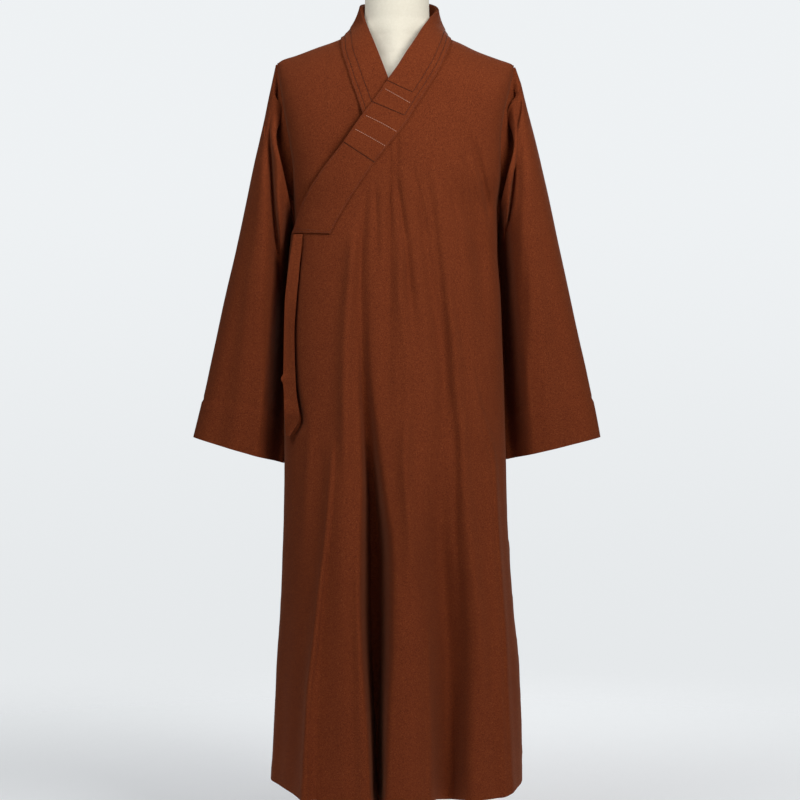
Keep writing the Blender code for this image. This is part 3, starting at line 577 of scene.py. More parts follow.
SLEEVE_RIGHT = [
    # share, outer across, outer height, inner across, inner height, front depth, back depth,
    # and how far the inner edge is set back, behind the robe's side
    (0.06, -223, 1366, -179.5, 1112, 50, 48, 10),
    (0.16, -236, 1306, -181, 1080, 64, 60, 26),
    (0.30, -254.5, 1222, -187.5, 1030, 74, 68, 34),
    (0.50, -285, 1078, -190.5, 948, 72, 66, 46),
    (0.70, -316, 940, -194, 860, 64, 58, 44),
    (0.87, -342, 818, -198, 765, 55, 50, 34),
    (1.00, -362, 737, -203, 690.5, 47, 44, 22),
]
SLEEVE_LEFT = [
    (0.06, 221, 1366, 175, 1116, 50, 48, 10),
    (0.16, 235, 1308, 174.5, 1084, 64, 60, 26),
    (0.30, 256, 1226, 179, 1034, 74, 68, 34),
    (0.50, 288, 1080, 181, 950, 72, 66, 46),
    (0.70, 318, 942, 185, 862, 64, 58, 44),
    (0.87, 345, 820, 191, 768, 55, 50, 34),
    (1.00, 361, 737, 195.5, 697, 47, 44, 22),
]
SLEEVE_FOLDS_RIGHT = {
    "trough by the armhole": [
        # share, place from outer (0) to inner (1), push, width
        (0.04, 0.06, 0, 0.14), (0.12, 0.16, -5, 0.15), (0.20, 0.32, -9, 0.16),
        (0.28, 0.48, -10, 0.16), (0.38, 0.62, -8, 0.16), (0.52, 0.74, -4, 0.15),
        (0.72, 0.84, 0, 0.14),
    ],
    "narrow roll": [
        (0.04, 0.30, 0, 0.14), (0.12, 0.46, 4, 0.14), (0.20, 0.66, 5, 0.13),
        (0.28, 0.80, 4, 0.12), (0.38, 0.88, 0, 0.12),
    ],
    "soft hollow": [
        (0.25, 0.10, 0, 0.12), (0.45, 0.22, -4, 0.14), (0.75, 0.27, -7, 0.15),
        (1.0, 0.28, -8, 0.16),
    ],
}
SLEEVE_FOLDS_LEFT = {
    "trough by the armhole": [
        (0.03, 0.06, 0, 0.14), (0.10, 0.20, -5, 0.15), (0.17, 0.40, -9, 0.16),
        (0.25, 0.56, -10, 0.16), (0.34, 0.70, -7, 0.15), (0.48, 0.82, 0, 0.14),
    ],
    "narrow roll": [
        (0.03, 0.30, 0, 0.14), (0.10, 0.50, 4, 0.14), (0.17, 0.70, 5, 0.13),
        (0.25, 0.84, 4, 0.12), (0.34, 0.90, 0, 0.12),
    ],
    "soft hollow": [
        (0.30, 0.24, 0, 0.14), (0.55, 0.28, -4, 0.15), (1.0, 0.30, -8, 0.16),
    ],
}


ARMHOLE_TOP = {-1: 1402.0, 1: 1397.0}       # height of each armhole's top
ARMHOLE_LOW = 3.0           # how far under the underarm's height its lowest point lies
ARMHOLE_CAP = 1.4           # how much further out the sleeve's edge stands at the armhole's top
ARMHOLE_SHARE = 0.06        # share of the sleeve over which it passes over from that edge
# Power of the sleeve's section (1 is an ellipse, lower is squarer), and how much higher it is at
# the outer edge and lower at the inner one.
SLEEVE_POWER = (0.80, 0.38)
SLEEVE_BACK_FOLDS = 0.4     # how much of the folds' push shows on the sleeve's back
SET_BACK_FULL = 30.0        # set back by this much, the inner part of the front lies flat


def sleeve_point(share, around, table, folds, flip):
    """A point of a sleeve's outer surface. around runs 0 to 2 pi from the outer edge over the
    front; flip is -1 for the sleeve at -X and 1 for the one at +X."""
    column = [smooth_table(share, table, c) for c in range(1, 8)]
    place = (1 - np.cos(around)) / 2
    across = column[0] + (column[2] - column[0]) * place
    height = column[1] + (column[3] - column[1]) * place
    front = np.sin(around) >= 0
    depth = np.where(front, column[4], column[5])
    power = SLEEVE_POWER[0] + SLEEVE_POWER[1] * np.cos(around)
    out = depth * np.abs(np.sin(around)) ** power
    push = np.zeros_like(place)
    for rows in folds.values():
        centre, height_of, width = (smooth_table(share, rows, c) for c in (1, 2, 3))
        push += height_of * bell(place, centre, width)
    shown = np.where(front, 1.0, SLEEVE_BACK_FOLDS)
    out = out + push * step(np.abs(np.sin(around)), 0.15, 0.5) * shown
    # the armhole: the first rings follow its edge
    top = ARMHOLE_TOP[flip]
    hole_height = top + (UNDERARM_HEIGHT - ARMHOLE_LOW - top) * place
    hole_across = smooth_table(hole_height, BODY, 1 if flip < 0 else 2) + flip * ARMHOLE_GAP
    hole_across = hole_across + flip * ARMHOLE_CAP * (1 - step(place, 0.0, 0.12))
    hole_out = smooth_table(hole_height, BODY, 6) * (np.abs(np.sin(around)) > 1e-6) + CLOTH
    start = 1 - step(share, 0.0, ARMHOLE_SHARE)
    across = hole_across * start + across * (1 - start)
    height = hole_height * start + height * (1 - start)
    out = hole_out * start + out * (1 - start)
    out = out * step(np.abs(np.sin(around)), 0.0, 0.12)
    tuck = step(place, 0.70, 0.95) * step(column[6], 0.0, SET_BACK_FULL) * (1 - start)
    out = out * (1 - tuck * front)
    set_back = column[6] * step(place, 0.5 + 0.25 * step(share, 0.5, 0.9), 0.97) * (1 - start)
    return np.stack([across, np.where(front, -out, out) + set_back, height], axis=-1)


COLLAR = [
    # inner edge: across, depth, height; outer edge: across, depth, height; 1 where it lies on
    # the chest, so that its depth comes from there
    (-9, 0, 1346, -54, 0, 1283, 1),
    (-14, 0, 1357, -70, 0, 1331, 1),
    (-22, 0, 1378, -78, 0, 1353, 1),
    (-31, -98, 1402, -85, -95, 1378, 1),
    (-40, -77, 1427, -94, -72, 1408, 0.8),
    (-49, -58, 1453, -97, -48, 1430, 0.3),
    (-55.5, -38, 1476, -98, -10, 1443, 0),
    (-60, -2, 1502, -93, 22, 1447, 0),
    (-47, 48, 1517, -62, 68, 1448, 0),
    (0, 69, 1524, 0, 84, 1450, 0),
    (50, 49, 1518, 64, 68, 1448, 0),
    (68, 2, 1498, 94, 20, 1446, 0),
    (55, -38, 1474, 94, -31, 1437, 0),
    (44, -60, 1453, 90, -65, 1418, 0.3),
    (31, -78, 1427, 82, -91, 1396, 0.7),
    (16, -98, 1402, 70, -100, 1370, 1),
    (0, 0, 1376, 53, 0, 1341, 1),
    (-14, 0, 1356, 33, 0, 1309, 1),
    (-35, 0, 1324, 13, 0, 1276, 1),
    (-58, 0, 1294, -8, 0, 1249, 1),
    (-90, 0, 1248, -39, 0, 1209, 1),
    (-131, 0, 1197, -79, 0, 1151, 1),
    (-160, 0, 1152, -102, 0, 1112, 1),
    (-180, 0, 1095, -113, 0, 1090, 1),
]
LEFT_SHOULDER = 11          # the station over the wearer's left shoulder
COLLAR_LAYERS = [
    # name, last station at its inner edge, how far short of it the outer edge ends, and where
    # across the collar's width it ends: at the wearer's right, at the left
    ("collar_base", 23.0, 0.0, 1.0, 1.0),
    ("collar_tier_low", 20.0, 0.05, 1.0, 1.0),
    ("collar_tier_mid", 18.3, 0.6, 0.87, 0.86),
    ("collar_tier_top", 17.15, 0.5, 0.66, 0.72),
]
SLANT_REACH = 3.0           # stations over which a layer's rows turn to its slanting end
COLLAR_WAIST = 6.0          # how far its middle draws in beside the neck
WAIST_FROM = 90.0           # distance from the middle plane at which it draws in by that much
COLLAR_CLEAR = 1.6          # gap under the collar, over the panels
STATION_STEP = 0.2          # stations and lines each way over which the collar's slope is measured
LINE_STEP = 0.15
NECK_START = 8              # station at which the collar reaches the back of the neck
NECK_LENGTH = 4             # stations from there to just past the wearer's left shoulder
STATION_LENGTH = 30         # rough distance from one station to the next


def station_value(station, column):
    rows = [(index, *row) for index, row in enumerate(COLLAR)]
    return smooth_table(station, rows, column + 1)


def collar_ground(station, line):
    """A point under the collar: on the chest, or on the cone that stands round the neck."""
    edge_in = [station_value(station, c) for c in (0, 1, 2)]
    edge_out = [station_value(station, c) for c in (3, 4, 5)]
    mixed = [a + (b - a) * line for a, b in zip(edge_in, edge_out)]
    on_chest = np.clip(station_value(station, 6), 0, 1)
    waist = COLLAR_WAIST * 4 * line * (1 - line) * (1 - on_chest)
    mixed[0] = mixed[0] * (1 - waist / WAIST_FROM)
    chest = body_point(turn_of(mixed[0], mixed[2]), mixed[2], -1, FRONT_FOLDS)
    depth = mixed[1] * (1 - on_chest) + chest[..., 1] * on_chest
    return np.stack([mixed[0], depth, mixed[2]], axis=-1)


def collar_point(station, line, out):
    """A point this far out from the collar's ground; out may vary from point to point."""
    ground = collar_ground(station, line)
    last = len(COLLAR) - 1
    along = (collar_ground(np.minimum(station + STATION_STEP, last), line)
             - collar_ground(np.maximum(station - STATION_STEP, 0), line))
    over = collar_ground(station, line + LINE_STEP) - collar_ground(station, line - LINE_STEP)
    normal = np.cross(along, over)
    normal /= np.linalg.norm(normal, axis=-1, keepdims=True)
    over_left = step(station, LEFT_SHOULDER - 1.0, LEFT_SHOULDER + 3.0)
    lift = outer_front_out(ground[..., 0], ground[..., 2]) * over_left
    return ground + normal * (COLLAR_CLEAR + lift + out)[..., None]


def round_neck(station, right, left):
    """A value that passes over, behind the neck, from the wearer's right to the left."""
    share = np.clip((station - NECK_START) / NECK_LENGTH, 0, 1)
    return right * (1 - share) + left * share


def layer_height(layer):
    """How far the outer face of one of the collar's layers lies over its underside."""
    return BAND + layer * (BAND + SEAM)


TIE = [
    # height, outer edge, inner edge (across)
    (1092, -180, -164), (1054, -186, -168), (1010, -192, -172), (974, -195.5, -175.5),
    (918, -197, -179), (873, -197.5, -178), (849, -198, -177), (840, -202, -176.5),
    (831, -198, -176), (812, -196.5, -174.5), (773, -195, -169), (762, -194.5, -173),
    (741, -193, -187),
]


FORM = [
    # height, left, right, front, back, added at the middle of front and back
    (760, -148, 148, 92, 84, 0, 0),
    (860, -154, 154, 100, 90, 0, 0),
    (980, -146, 146, 94, 88, 0, 0),
    (1100, -154, 152, 98, 94, 0, 0),
    (1200, -162, 160, 97, 96, 0, 0),
    (1290, -176, 172, 88, 92, 2, 0),
    (1345, -192, 187, 72, 78, 16, 6),
    (1378, -200, 195, 46, 50, 35, 22),
    (1395.7, -201, 195, 30, 32, 47, 36),
    (1404.7, -196, 183, 20, 21, 54, 44),
    (1411.7, -178, 161, 17, 18, 55, 46),
    (1426.7, -137, 126, 16, 18, 52, 45),
    (1441.7, -99, 95, 22, 24, 42, 37),
    (1454, -77, 77, 38, 38, 23.5, 22),
    (1466, -64, 64, 53, 53, 5.5, 5),
    (1478, -58, 58, 57, 57, 0, 0),
    (1500, -57, 57, 57, 57, 0, 0),
    (1524, -57, 57, 57, 57, 0, 0),
]
NECK_BULGE = 50.0           # half width of the middle that carries the neck


# ---- building meshes ---------------------------------------------------------------------------

SHARP = 50                  # edges that bend by more than this, in degrees, are shaded sharp


def add_piece(name, points, faces, finish, node=None, uv=None):
    """Make one piece from points in millimetres and quads or other faces."""
    mesh = bpy.data.meshes.new(name)
    mesh.from_pydata((np.asarray(points, float) * MM).tolist(), [], faces)
    if uv is not None:
        layer = mesh.uv_layers.new(name="cut")
        corner = np.empty(len(mesh.loops), int)
        mesh.loops.foreach_get("vertex_index", corner)
        layer.data.foreach_set("uv", uv[corner].ravel())
    mesh.materials.append(finish)
    mesh.shade_smooth()
    mesh.set_sharp_from_angle(angle=math.radians(SHARP))
    piece = bpy.data.objects.new(name, mesh)
    bpy.context.scene.collection.objects.link(piece)
    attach(piece, "root")
    if node:
        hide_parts(node)


def cut_places(grid):
    """Where each point of a grid lies on the flat cut, in metres, for the weave's direction."""
    across = np.linalg.norm(np.diff(grid, axis=1), axis=-1)
    down = np.linalg.norm(np.diff(grid, axis=0), axis=-1)
    u = np.concatenate([np.zeros((grid.shape[0], 1)), np.cumsum(across, axis=1)], axis=1)
    v = np.concatenate([np.zeros((1, grid.shape[1])), np.cumsum(down, axis=0)], axis=0)
    return np.stack([u - u.mean(axis=1, keepdims=True), -v], axis=-1) * MM


def add_shell(name, outer, inner, finish, closed=False):
    """A thin closed shell between two grids of the same size."""
    rows, columns = outer.shape[:2]
    half = rows * columns
    index = np.arange(half).reshape(rows, columns)
    right = np.roll(index, -1, axis=1) if closed else index[:, 1:]
    left = index if closed else index[:, :-1]
    a, b, c, d = left[:-1], right[:-1], right[1:], left[1:]
    front = np.stack([a, b, c, d], axis=-1).reshape(-1, 4)
    rims = [np.stack([left[0], half + left[0], half + right[0], right[0]], axis=-1),
            np.stack([right[-1], half + right[-1], half + left[-1], left[-1]], axis=-1)]
    if not closed:
        first, last = index[:, 0], index[:, -1]
        rims.append(np.stack([first[:-1], first[1:], half + first[1:], half + first[:-1]], axis=-1))
        rims.append(np.stack([last[1:], last[:-1], half + last[:-1], half + last[1:]], axis=-1))
    faces = np.concatenate([front, half + front[:, ::-1]] + rims)
    points = np.concatenate([outer.reshape(-1, 3), inner.reshape(-1, 3)])
    corners = points[faces]
    middle = points.mean(axis=0)
    cross = np.cross(corners[:, 2] - corners[:, 0], corners[:, 3] - corners[:, 1])
    if np.einsum("ij,ij->", corners.mean(axis=1) - middle, cross) < 0:
        faces = faces[:, ::-1]
    places = cut_places(outer).reshape(-1, 2)
    add_piece("cloth_" + name, points, faces.tolist(), finish, name,
              np.concatenate([places, places]))


# ---- uneven cloth ------------------------------------------------------------------------------

SEED_SHIFT = 17.3           # how far apart two seeds read the noise
UNEVEN = (0.9, 0.16, 0.03)  # height of the cloth's unevenness, the largest features first


def waves(points, size, seed):
    """Soft noise from -1 to 1 at points, with features of this size in millimetres."""
    flat = points.reshape(-1, 3) / size + seed * SEED_SHIFT
    values = [noise.noise(Vector(p)) for p in flat.tolist()]
    return np.array(values).reshape(points.shape[:-1])


def unevenness(points, sizes, seed):
    """The cloth's unevenness, from features of three sizes."""
    return sum(height * waves(points, size, seed + index)
               for index, (height, size) in enumerate(zip(UNEVEN, sizes)))


def edge_fade(grid, rows_from_top, columns_from_side):
    """1 in the middle of a grid, 0 at its top row and its sides."""
    row = np.arange(grid.shape[0])[:, None] / rows_from_top
    column = np.minimum(np.arange(grid.shape[1]), np.arange(grid.shape[1])[::-1])[None]
    return step(row, 0, 1) * step(column / columns_from_side, 0, 1)


PUCKERS = {
    # height, depth of the ripple along the side seam
    -1: [(700, 0), (560, 0.5), (400, 0.9), (260, 1.1), (130, 0.8)],
    1: [(660, 0), (580, 1.0), (520, 2.4), (470, 1.4), (400, 2.2), (330, 2.6), (250, 2.0),
        (180, 2.8), (130, 1.6)],
}
PUCKER_REACH = 24.0         # how far from the seam the ripples run
PUCKER_SLANT = 0.45         # how steeply they slant down, away from it


def puckered(grid):
    """Ripples beside the skirt's side seams, alike on the front and the back."""
    made = grid.copy()
    height = grid[..., 2] + PUCKER_SLANT * np.abs(grid[..., 1])
    ripple = (0.55 * np.sin(height / 6.5 + 1.1 * np.sin(height / 33))
              + 0.45 * np.sin(height / 14.5 + 1.7))
    for side, rows in PUCKERS.items():
        near = bell(grid[..., 1], 0, PUCKER_REACH) * (side * grid[..., 0] > 0)
        depth = smooth_table(grid[..., 2], rows, 1)
        made[..., 0] += side * ripple * depth * near
    return made


SEAM_TURN = 5.0             # seam allowance turned in behind an edge


def turned_in(grid, both):
    """The grid with one more column at its first side, or at both, turned in to the middle."""
    first, last = grid[:, :1].copy(), grid[:, -1:].copy()
    for edge in (first, last):
        edge[..., 0] += SEAM_TURN * np.sign(-edge[..., 0])
    return np.concatenate([first, grid, last] if both else [first, grid], axis=1)


# Each panel's grid, rows and columns.
FRONT_GRID = (168, 284)
BACK_GRID = (190, 120)
UNDER_GRID = (110, 56)
PANEL_SIZES = (110, 40, 14) # sizes of a panel's unevenness
PANEL_FADE = (12, 5)        # rows from its top and columns from its sides over which that begins
FRONT_FOLD_DEPTH = 2.3      # how much deeper the fine folds lie than their tables say
BACK_FOLD_DEPTH = 1.5
HEM_DEPTH = 28.0            # turned hem of the skirt
HEM_EDGE = 1.5              # half the height over which its step rises
HEM_SINK_REACH = 140.0      # height over the hem in which the front's sinking fades out
HEM_SINK = [
    # across, how much lower the front hangs there
    (-230, -11), (-212, -8), (-180, 0), (-155, 6), (-60, 7), (-46, 18), (-32, 34), (-18, 18),
    (0, 8), (60, 8), (88, 16), (120, 9), (180, 6), (205, -2), (230, -10),
]
HEM_STEP = 0.6              # how much prouder the turned hem lies


def finished_panel(grid, side, out):
    """The panel's outer face with hem, ripples and unevenness, moved out by the function out."""
    normal = grid_normals(grid) * side
    fade = edge_fade(grid, *PANEL_FADE)
    hem_top = HEM_HEIGHT + HEM_DEPTH
    hem = HEM_STEP * (1 - step(grid[..., 2], hem_top - HEM_EDGE, hem_top + HEM_EDGE))
    total = unevenness(grid, PANEL_SIZES, 1) * fade + hem * step(fade, 0, 0.5)
    total = total + out(grid[..., 0], grid[..., 2])
    grid = puckered(grid + normal * total[..., None])
    if side < 0:
        sunk = smooth_table(grid[..., 0], HEM_SINK, 1)
        grid[..., 2] -= sunk * (1 - step(grid[..., 2], HEM_HEIGHT, HEM_HEIGHT + HEM_SINK_REACH))
    grid[..., 1] += side * SEAM / 2
    return grid


def deepened(folds, share):
    """The same folds with their push multiplied."""
    return {name: [(height, across, share * push, width) for height, across, push, width in rows]
            for name, rows in folds.items()}


def build_panel(name, grid, side, out, finish, both=True):
    """One panel from its plain grid; both says whether it has a side seam at each side."""
    grid = turned_in(finished_panel(grid, side, out), both)
    add_shell(name, grid, behind(grid, CLOTH, side, seam_side=side), finish)


def build_panels(finish):
    """The outer front, the back, and the front under the outer one."""
    folds = {**FRONT_FOLDS, **deepened(FINE_FRONT_FOLDS, FRONT_FOLD_DEPTH)}
    grid = panel_grid(LEFT_FRONT_TOP, HEM_HEIGHT, *FRONT_GRID, -1, folds)
    build_panel("front_left", grid, -1, outer_front_out, finish)
    folds = {**BACK_FOLDS, **deepened(FINE_BACK_FOLDS, BACK_FOLD_DEPTH)}
    grid = panel_grid(BACK_TOP, HEM_HEIGHT, *BACK_GRID, 1, folds)
    build_panel("back", grid, 1, back_out, finish)
    levels = panel_levels(UNDER_FRONT_HEM)
    edges = smooth_table(levels, RIGHT_FRONT_EDGE, 1)
    grid = panel_grid_between(RIGHT_FRONT_TOP, UNDER_FRONT_HEM, *UNDER_GRID, -1, {},
                              np.zeros(LEVELS), turn_of(edges, levels))
    build_panel("front_right", grid, -1, under_front_out, finish, both=False)


# ---- sleeves -----------------------------------------------------------------------------------

FINE_SLEEVE_RIGHT = {
    "deep trough": [
        (0.08, 0.12, 0, 0.06), (0.13, 0.20, -7, 0.06), (0.20, 0.38, -17, 0.08),
        (0.30, 0.62, -24, 0.10), (0.40, 0.75, -25, 0.10), (0.48, 0.84, -24, 0.10),
        (0.62, 0.93, -16, 0.09), (0.80, 1.0, -8, 0.08), (1.0, 1.0, -3, 0.07),
    ],
    "soft band": [
        (0.30, 0.26, 0, 0.07), (0.45, 0.30, 1.6, 0.08), (0.62, 0.34, 2.0, 0.08),
        (0.82, 0.40, 1.4, 0.09), (1.0, 0.44, 1.0, 0.10),
    ],
    "cuff hollow": [
        (0.66, 0.56, 0, 0.08), (0.80, 0.60, -2.2, 0.09), (1.0, 0.62, -3.4, 0.10),
    ],
    "crease below the trough": [
        (0.30, 0.62, 0, 0.05), (0.38, 0.72, -2.0, 0.05), (0.50, 0.80, -1.6, 0.05),
        (0.62, 0.86, 0, 0.05),
    ],
}
FINE_SLEEVE_LEFT = {
    "deep trough": [
        (0.05, 0.08, 0, 0.05), (0.08, 0.13, -6, 0.05), (0.12, 0.37, -11, 0.06),
        (0.15, 0.485, -14, 0.06), (0.215, 0.66, -20, 0.08), (0.25, 0.77, -23, 0.09),
        (0.33, 0.84, -24, 0.10), (0.46, 0.89, -24, 0.10), (0.62, 0.95, -16, 0.09),
        (0.80, 1.0, -8, 0.08), (1.0, 1.0, -3, 0.07),
    ],
    "soft band": [
        (0.28, 0.30, 0, 0.07), (0.42, 0.36, 1.6, 0.08), (0.60, 0.42, 1.8, 0.08),
        (0.80, 0.46, 1.2, 0.09), (1.0, 0.48, 0.8, 0.10),
    ],
    "cuff hollow": [
        (0.62, 0.64, 0, 0.08), (0.80, 0.68, -2.0, 0.09), (1.0, 0.70, -3.0, 0.10),
    ],
    "slanting crease": [
        (0.34, 0.44, 0, 0.05), (0.42, 0.54, -1.6, 0.05), (0.54, 0.62, -1.4, 0.06),
        (0.66, 0.70, 0, 0.06),
    ],
}
CUFF_HEM = (0.895, 0.845)   # share at which the turned hem ends, at the outer and inner edge
CUFF_STEP = 1.2             # how much prouder the turned hem lies
TUCK_IN = 2.5               # how far the sleeve's top reaches in past the armhole's edge
TUCK_UNDER = 4.0            # and how far it sinks to pass under it
VALLEY = (-36.0, 0.044, 0.035)      # hollow along the armhole: push, share, half width
ROLL = (5.0, 0.118, 0.028)  # and the roll that runs beside it
VALLEY_START = 0.020        # share over which the hollow begins
VALLEY_ENDS = (0.04, 0.28, 0.70, 0.93)      # places across the sleeve where both begin and end
CUFF_DITCH = 0.8            # how far the line of the cuff's hem is drawn in
DITCH_WIDTH = 0.004         # half width of that line, as a share of the sleeve
SLEEVE_SIZES = (100, 38, 13)        # sizes of a sleeve's unevenness
SOLID_SHARES = [0, 0.03, 0.06, 0.10, 0.14, 0.18, 0.225, 0.275, 0.33, 0.41, 0.52, 0.64, 0.76, 0.88,
                1.0]        # rings of a sleeve's solid
SLEEVE_RINGS = 170
SLEEVE_FRONT = 66           # points of a ring's front
SLEEVE_BACK = 46            # and of its back, with the two that they share
EVEN_SHARE = 0.65           # how much of their spread is even; the rest is closer at the edges


def build_sleeve(name, table, folds, flip, finish):
    """One sleeve with its deep turned hem."""
    last = len(SOLID_SHARES) - 1
    shares = np.interp(np.linspace(0, last, SLEEVE_RINGS), np.arange(last + 1), SOLID_SHARES)
    place = np.concatenate([np.linspace(0, 1, SLEEVE_FRONT), np.linspace(1, 0, SLEEVE_BACK)[1:-1]])
    closer = (1 - EVEN_SHARE) * (1 - np.cos(place * math.pi)) / 2
    around = np.arccos(1 - 2 * (closer + EVEN_SHARE * place))
    around[SLEEVE_FRONT:] = 2 * math.pi - around[SLEEVE_FRONT:]
    grid = np.array([sleeve_point(np.full(len(around), share), around, table, folds, flip)
                     for share in shares])
    ring = np.concatenate([grid[:, -1:], grid, grid[:, :1]], axis=1)
    normal = grid_normals(ring)[:, 1:-1] * flip
    reach = (1 - np.cos(around))[None] / 2
    hem_share = CUFF_HEM[0] + (CUFF_HEM[1] - CUFF_HEM[0]) * reach
    hem = CUFF_STEP * step(shares[:, None], hem_share - 0.002, hem_share + 0.002)
    ditch = (shares[:, None] - hem_share + DITCH_WIDTH) / DITCH_WIDTH
    hem = hem - CUFF_DITCH * np.exp(-ditch ** 2)
    ends = step(reach, *VALLEY_ENDS[:2]) * (1 - step(reach, *VALLEY_ENDS[2:]))
    ends = ends * np.where(np.sin(around) >= 0, 1.0, 0.35)[None]
    valley, roll = (push * bell(shares[:, None], centre, width) * ends
                    for push, centre, width in (VALLEY, ROLL))
    hem = hem + valley * step(shares[:, None], 0.0, VALLEY_START) + roll
    fade = step(shares, 0.05, 0.16)[:, None]
    grid = grid + normal * (hem + unevenness(grid, SLEEVE_SIZES, 5) * fade)[..., None]
    inward = 1 - step(shares, 0.0, 0.012)
    lower = 1 - step(shares, 0.008, 0.05)
    grid[..., 0] -= flip * TUCK_IN * inward[:, None]
    grid[..., 1] -= np.sign(np.sin(around))[None] * -1 * TUCK_UNDER * lower[:, None] * np.minimum(
        1, 6 * np.abs(np.sin(around)))[None]
    low = 1 - step(shares, 0.002, 0.010)
    grid[..., 2] -= 0.5 * TUCK_UNDER * low[:, None] * (1 - step(reach, 0.0, 0.06))
    add_shell(name, grid, behind(grid, CLOTH, flip, closed=True), finish, closed=True)


# ---- collar ------------------------------------------------------------------------------------

COLLAR_ROWS = 15            # rows of a layer between two stations
LAYER_COLUMNS = 30          # places across a layer
END_ROW = 0.012             # how far from each end, in stations, one more row lies
EDGE_ROUND = 0.45           # how far a layer's edges are rounded down
EDGE_REACH = 1.3            # over this distance from the edge


def layer_lines(station, end_right, end_left, count):
    """Places across the collar's width, close together at a layer's edges."""
    spread = np.linspace(0, 1, count)
    spread = 0.5 * spread + 0.5 * (1 - np.cos(math.pi * spread)) / 2
    return round_neck(station, end_right, end_left)[:, None] * spread[None]


def build_collar(finish):
    """The band and the three tiers on it, each a shell of its own."""
    for index, (name, last, slant, end_right, end_left) in enumerate(COLLAR_LAYERS):
        stations = np.linspace(0, last, int(last * COLLAR_ROWS))
        stations = np.concatenate([[0.0, END_ROW], stations[1:-1], [last - END_ROW, last]])
        lines = layer_lines(stations, end_right, end_left, LAYER_COLUMNS)
        turned_by = slant * step(stations, last - SLANT_REACH, last)
        station = stations[:, None] - turned_by[:, None] * lines / lines[:, -1:]
        full = collar_point(station, lines, np.zeros(station.shape))
        across = np.linalg.norm(np.diff(full, axis=1), axis=-1)
        run = np.concatenate([np.zeros((len(stations), 1)), np.cumsum(across, axis=1)], axis=1)
        to_edge = np.minimum(run, run[:, -1:] - run)
        height = layer_height(index)
        rounded = EDGE_ROUND * np.exp(-to_edge / EDGE_REACH)
        outer = collar_point(station, lines, height - rounded)
        inner = collar_point(station, lines, np.full(station.shape, height - BAND))
        add_shell(name, outer, inner, finish)


# ---- tie ---------------------------------------------------------------------------------------

TIE_CURL = 8.0              # how far the tie's inner edge curls away from the robe
TIE_CURL_FROM = 1075.0      # height at which it begins to curl
TIE_CURL_LENGTH = 160.0     # and the length over which it grows
TIE_GRID = (150, 14)        # rows and columns of the tie
TIE_ROUGH = 12              # every so many rows, its rest against the robe is read
TIE_PUFF = 0.5              # how far its middle bulges
TIE_WAVE = (0.5, 41.0)      # depth of its waves, and their length over a radian


def build_tie(finish):
    """The hanging strap, a flat tube with pressed edges and a slanting end."""
    fine = np.linspace(TIE[0][0], TIE[-1][0], TIE_GRID[0])
    outer_edge, inner_edge = smooth_table(fine, TIE, 1), smooth_table(fine, TIE, 2)
    lines = np.linspace(0, 1, TIE_GRID[1])
    across = outer_edge[:, None] + (inner_edge - outer_edge)[:, None] * lines[None]
    level = np.repeat(fine[:, None], len(lines), axis=1)
    ground = chest_point(inner_edge, fine, np.zeros(len(fine)))
    facing = -(chest_point(inner_edge, fine, np.ones(len(fine))) - ground)[:, 1]
    rest = ground[:, 1] - (outer_front_out(inner_edge, fine) + TIE_CLEAR) / facing - TIE_WALL
    rest = smooth_table(fine, list(zip(fine[::TIE_ROUGH], rest[::TIE_ROUGH])), 1)
    puff = TIE_PUFF * np.sin(math.pi * lines) ** 0.6
    depth = rest[:, None] + TIE_LEAN * (1 - lines)[None] - puff[None]
    depth = depth - TIE_WAVE[0] * (1 + np.sin(fine / TIE_WAVE[1]))[:, None] * lines[None]
    curl = TIE_CURL * step(TIE_CURL_FROM - fine, 0, TIE_CURL_LENGTH)
    depth = depth - curl[:, None] * lines[None] ** 1.5
    grid = np.stack([across, depth, level], axis=-1)
    add_shell("tie", grid, behind(grid, TIE_WALL, -1), finish)


# ---- sewing ------------------------------------------------------------------------------------

def along_path(path, places):
    """Points and unit normals at these lengths along a path of (point, normal) rows."""
    points, normals = path
    length = np.concatenate([[0], np.cumsum(np.linalg.norm(np.diff(points, axis=0), axis=1))])
    at = np.stack([np.interp(places, length, points[:, k]) for k in range(3)], axis=-1)
    up = np.stack([np.interp(places, length, normals[:, k]) for k in range(3)], axis=-1)
    return at, up / np.linalg.norm(up, axis=-1, keepdims=True)


def path_length(path):
    return float(np.linalg.norm(np.diff(path[0], axis=0), axis=1).sum())


def build_stitches(name, paths, pitch, gap, radius, finish, slot):
    """Rows of stitches as one mesh: each is a short thread that dives into the cloth at its ends."""
    rings, sides = 5, 6
    turn = np.arange(sides) * 2 * math.pi / sides
    points, faces = [], []
    base = 0
    for path in paths:
        count = max(int(path_length(path) / pitch), 1)
        starts = np.arange(count) * path_length(path) / count
        long = path_length(path) / count - gap
        for start in starts:
            share = np.linspace(0, 1, rings)
            at, up = along_path(path, start + share * long)
            ahead = np.gradient(at, axis=0)
            ahead /= np.maximum(np.linalg.norm(ahead, axis=-1, keepdims=True), 1e-9)
            beside = np.cross(ahead, up)
            arch = np.sin(math.pi * share)
            at = at + up * (radius * (1.35 * arch ** 0.7 - 0.85))[:, None]
            thick = radius * (0.55 + 0.45 * arch)
            ring = (at[:, None] + thick[:, None, None]
                    * (np.cos(turn)[None, :, None] * beside[:, None]
                       + np.sin(turn)[None, :, None] * up[:, None]))
            points.append(ring.reshape(-1, 3))
            for r in range(rings - 1):
                for c in range(sides):
                    d = (c + 1) % sides
                    faces.append((base + r * sides + c, base + (r + 1) * sides + c,
                                  base + (r + 1) * sides + d, base + r * sides + d))
            faces.append(tuple(base + c for c in range(sides)))
            faces.append(tuple(base + (rings - 1) * sides + c for c in range(sides))[::-1])
            base += rings * sides
    add_piece(name, np.concatenate(points), faces, finish)


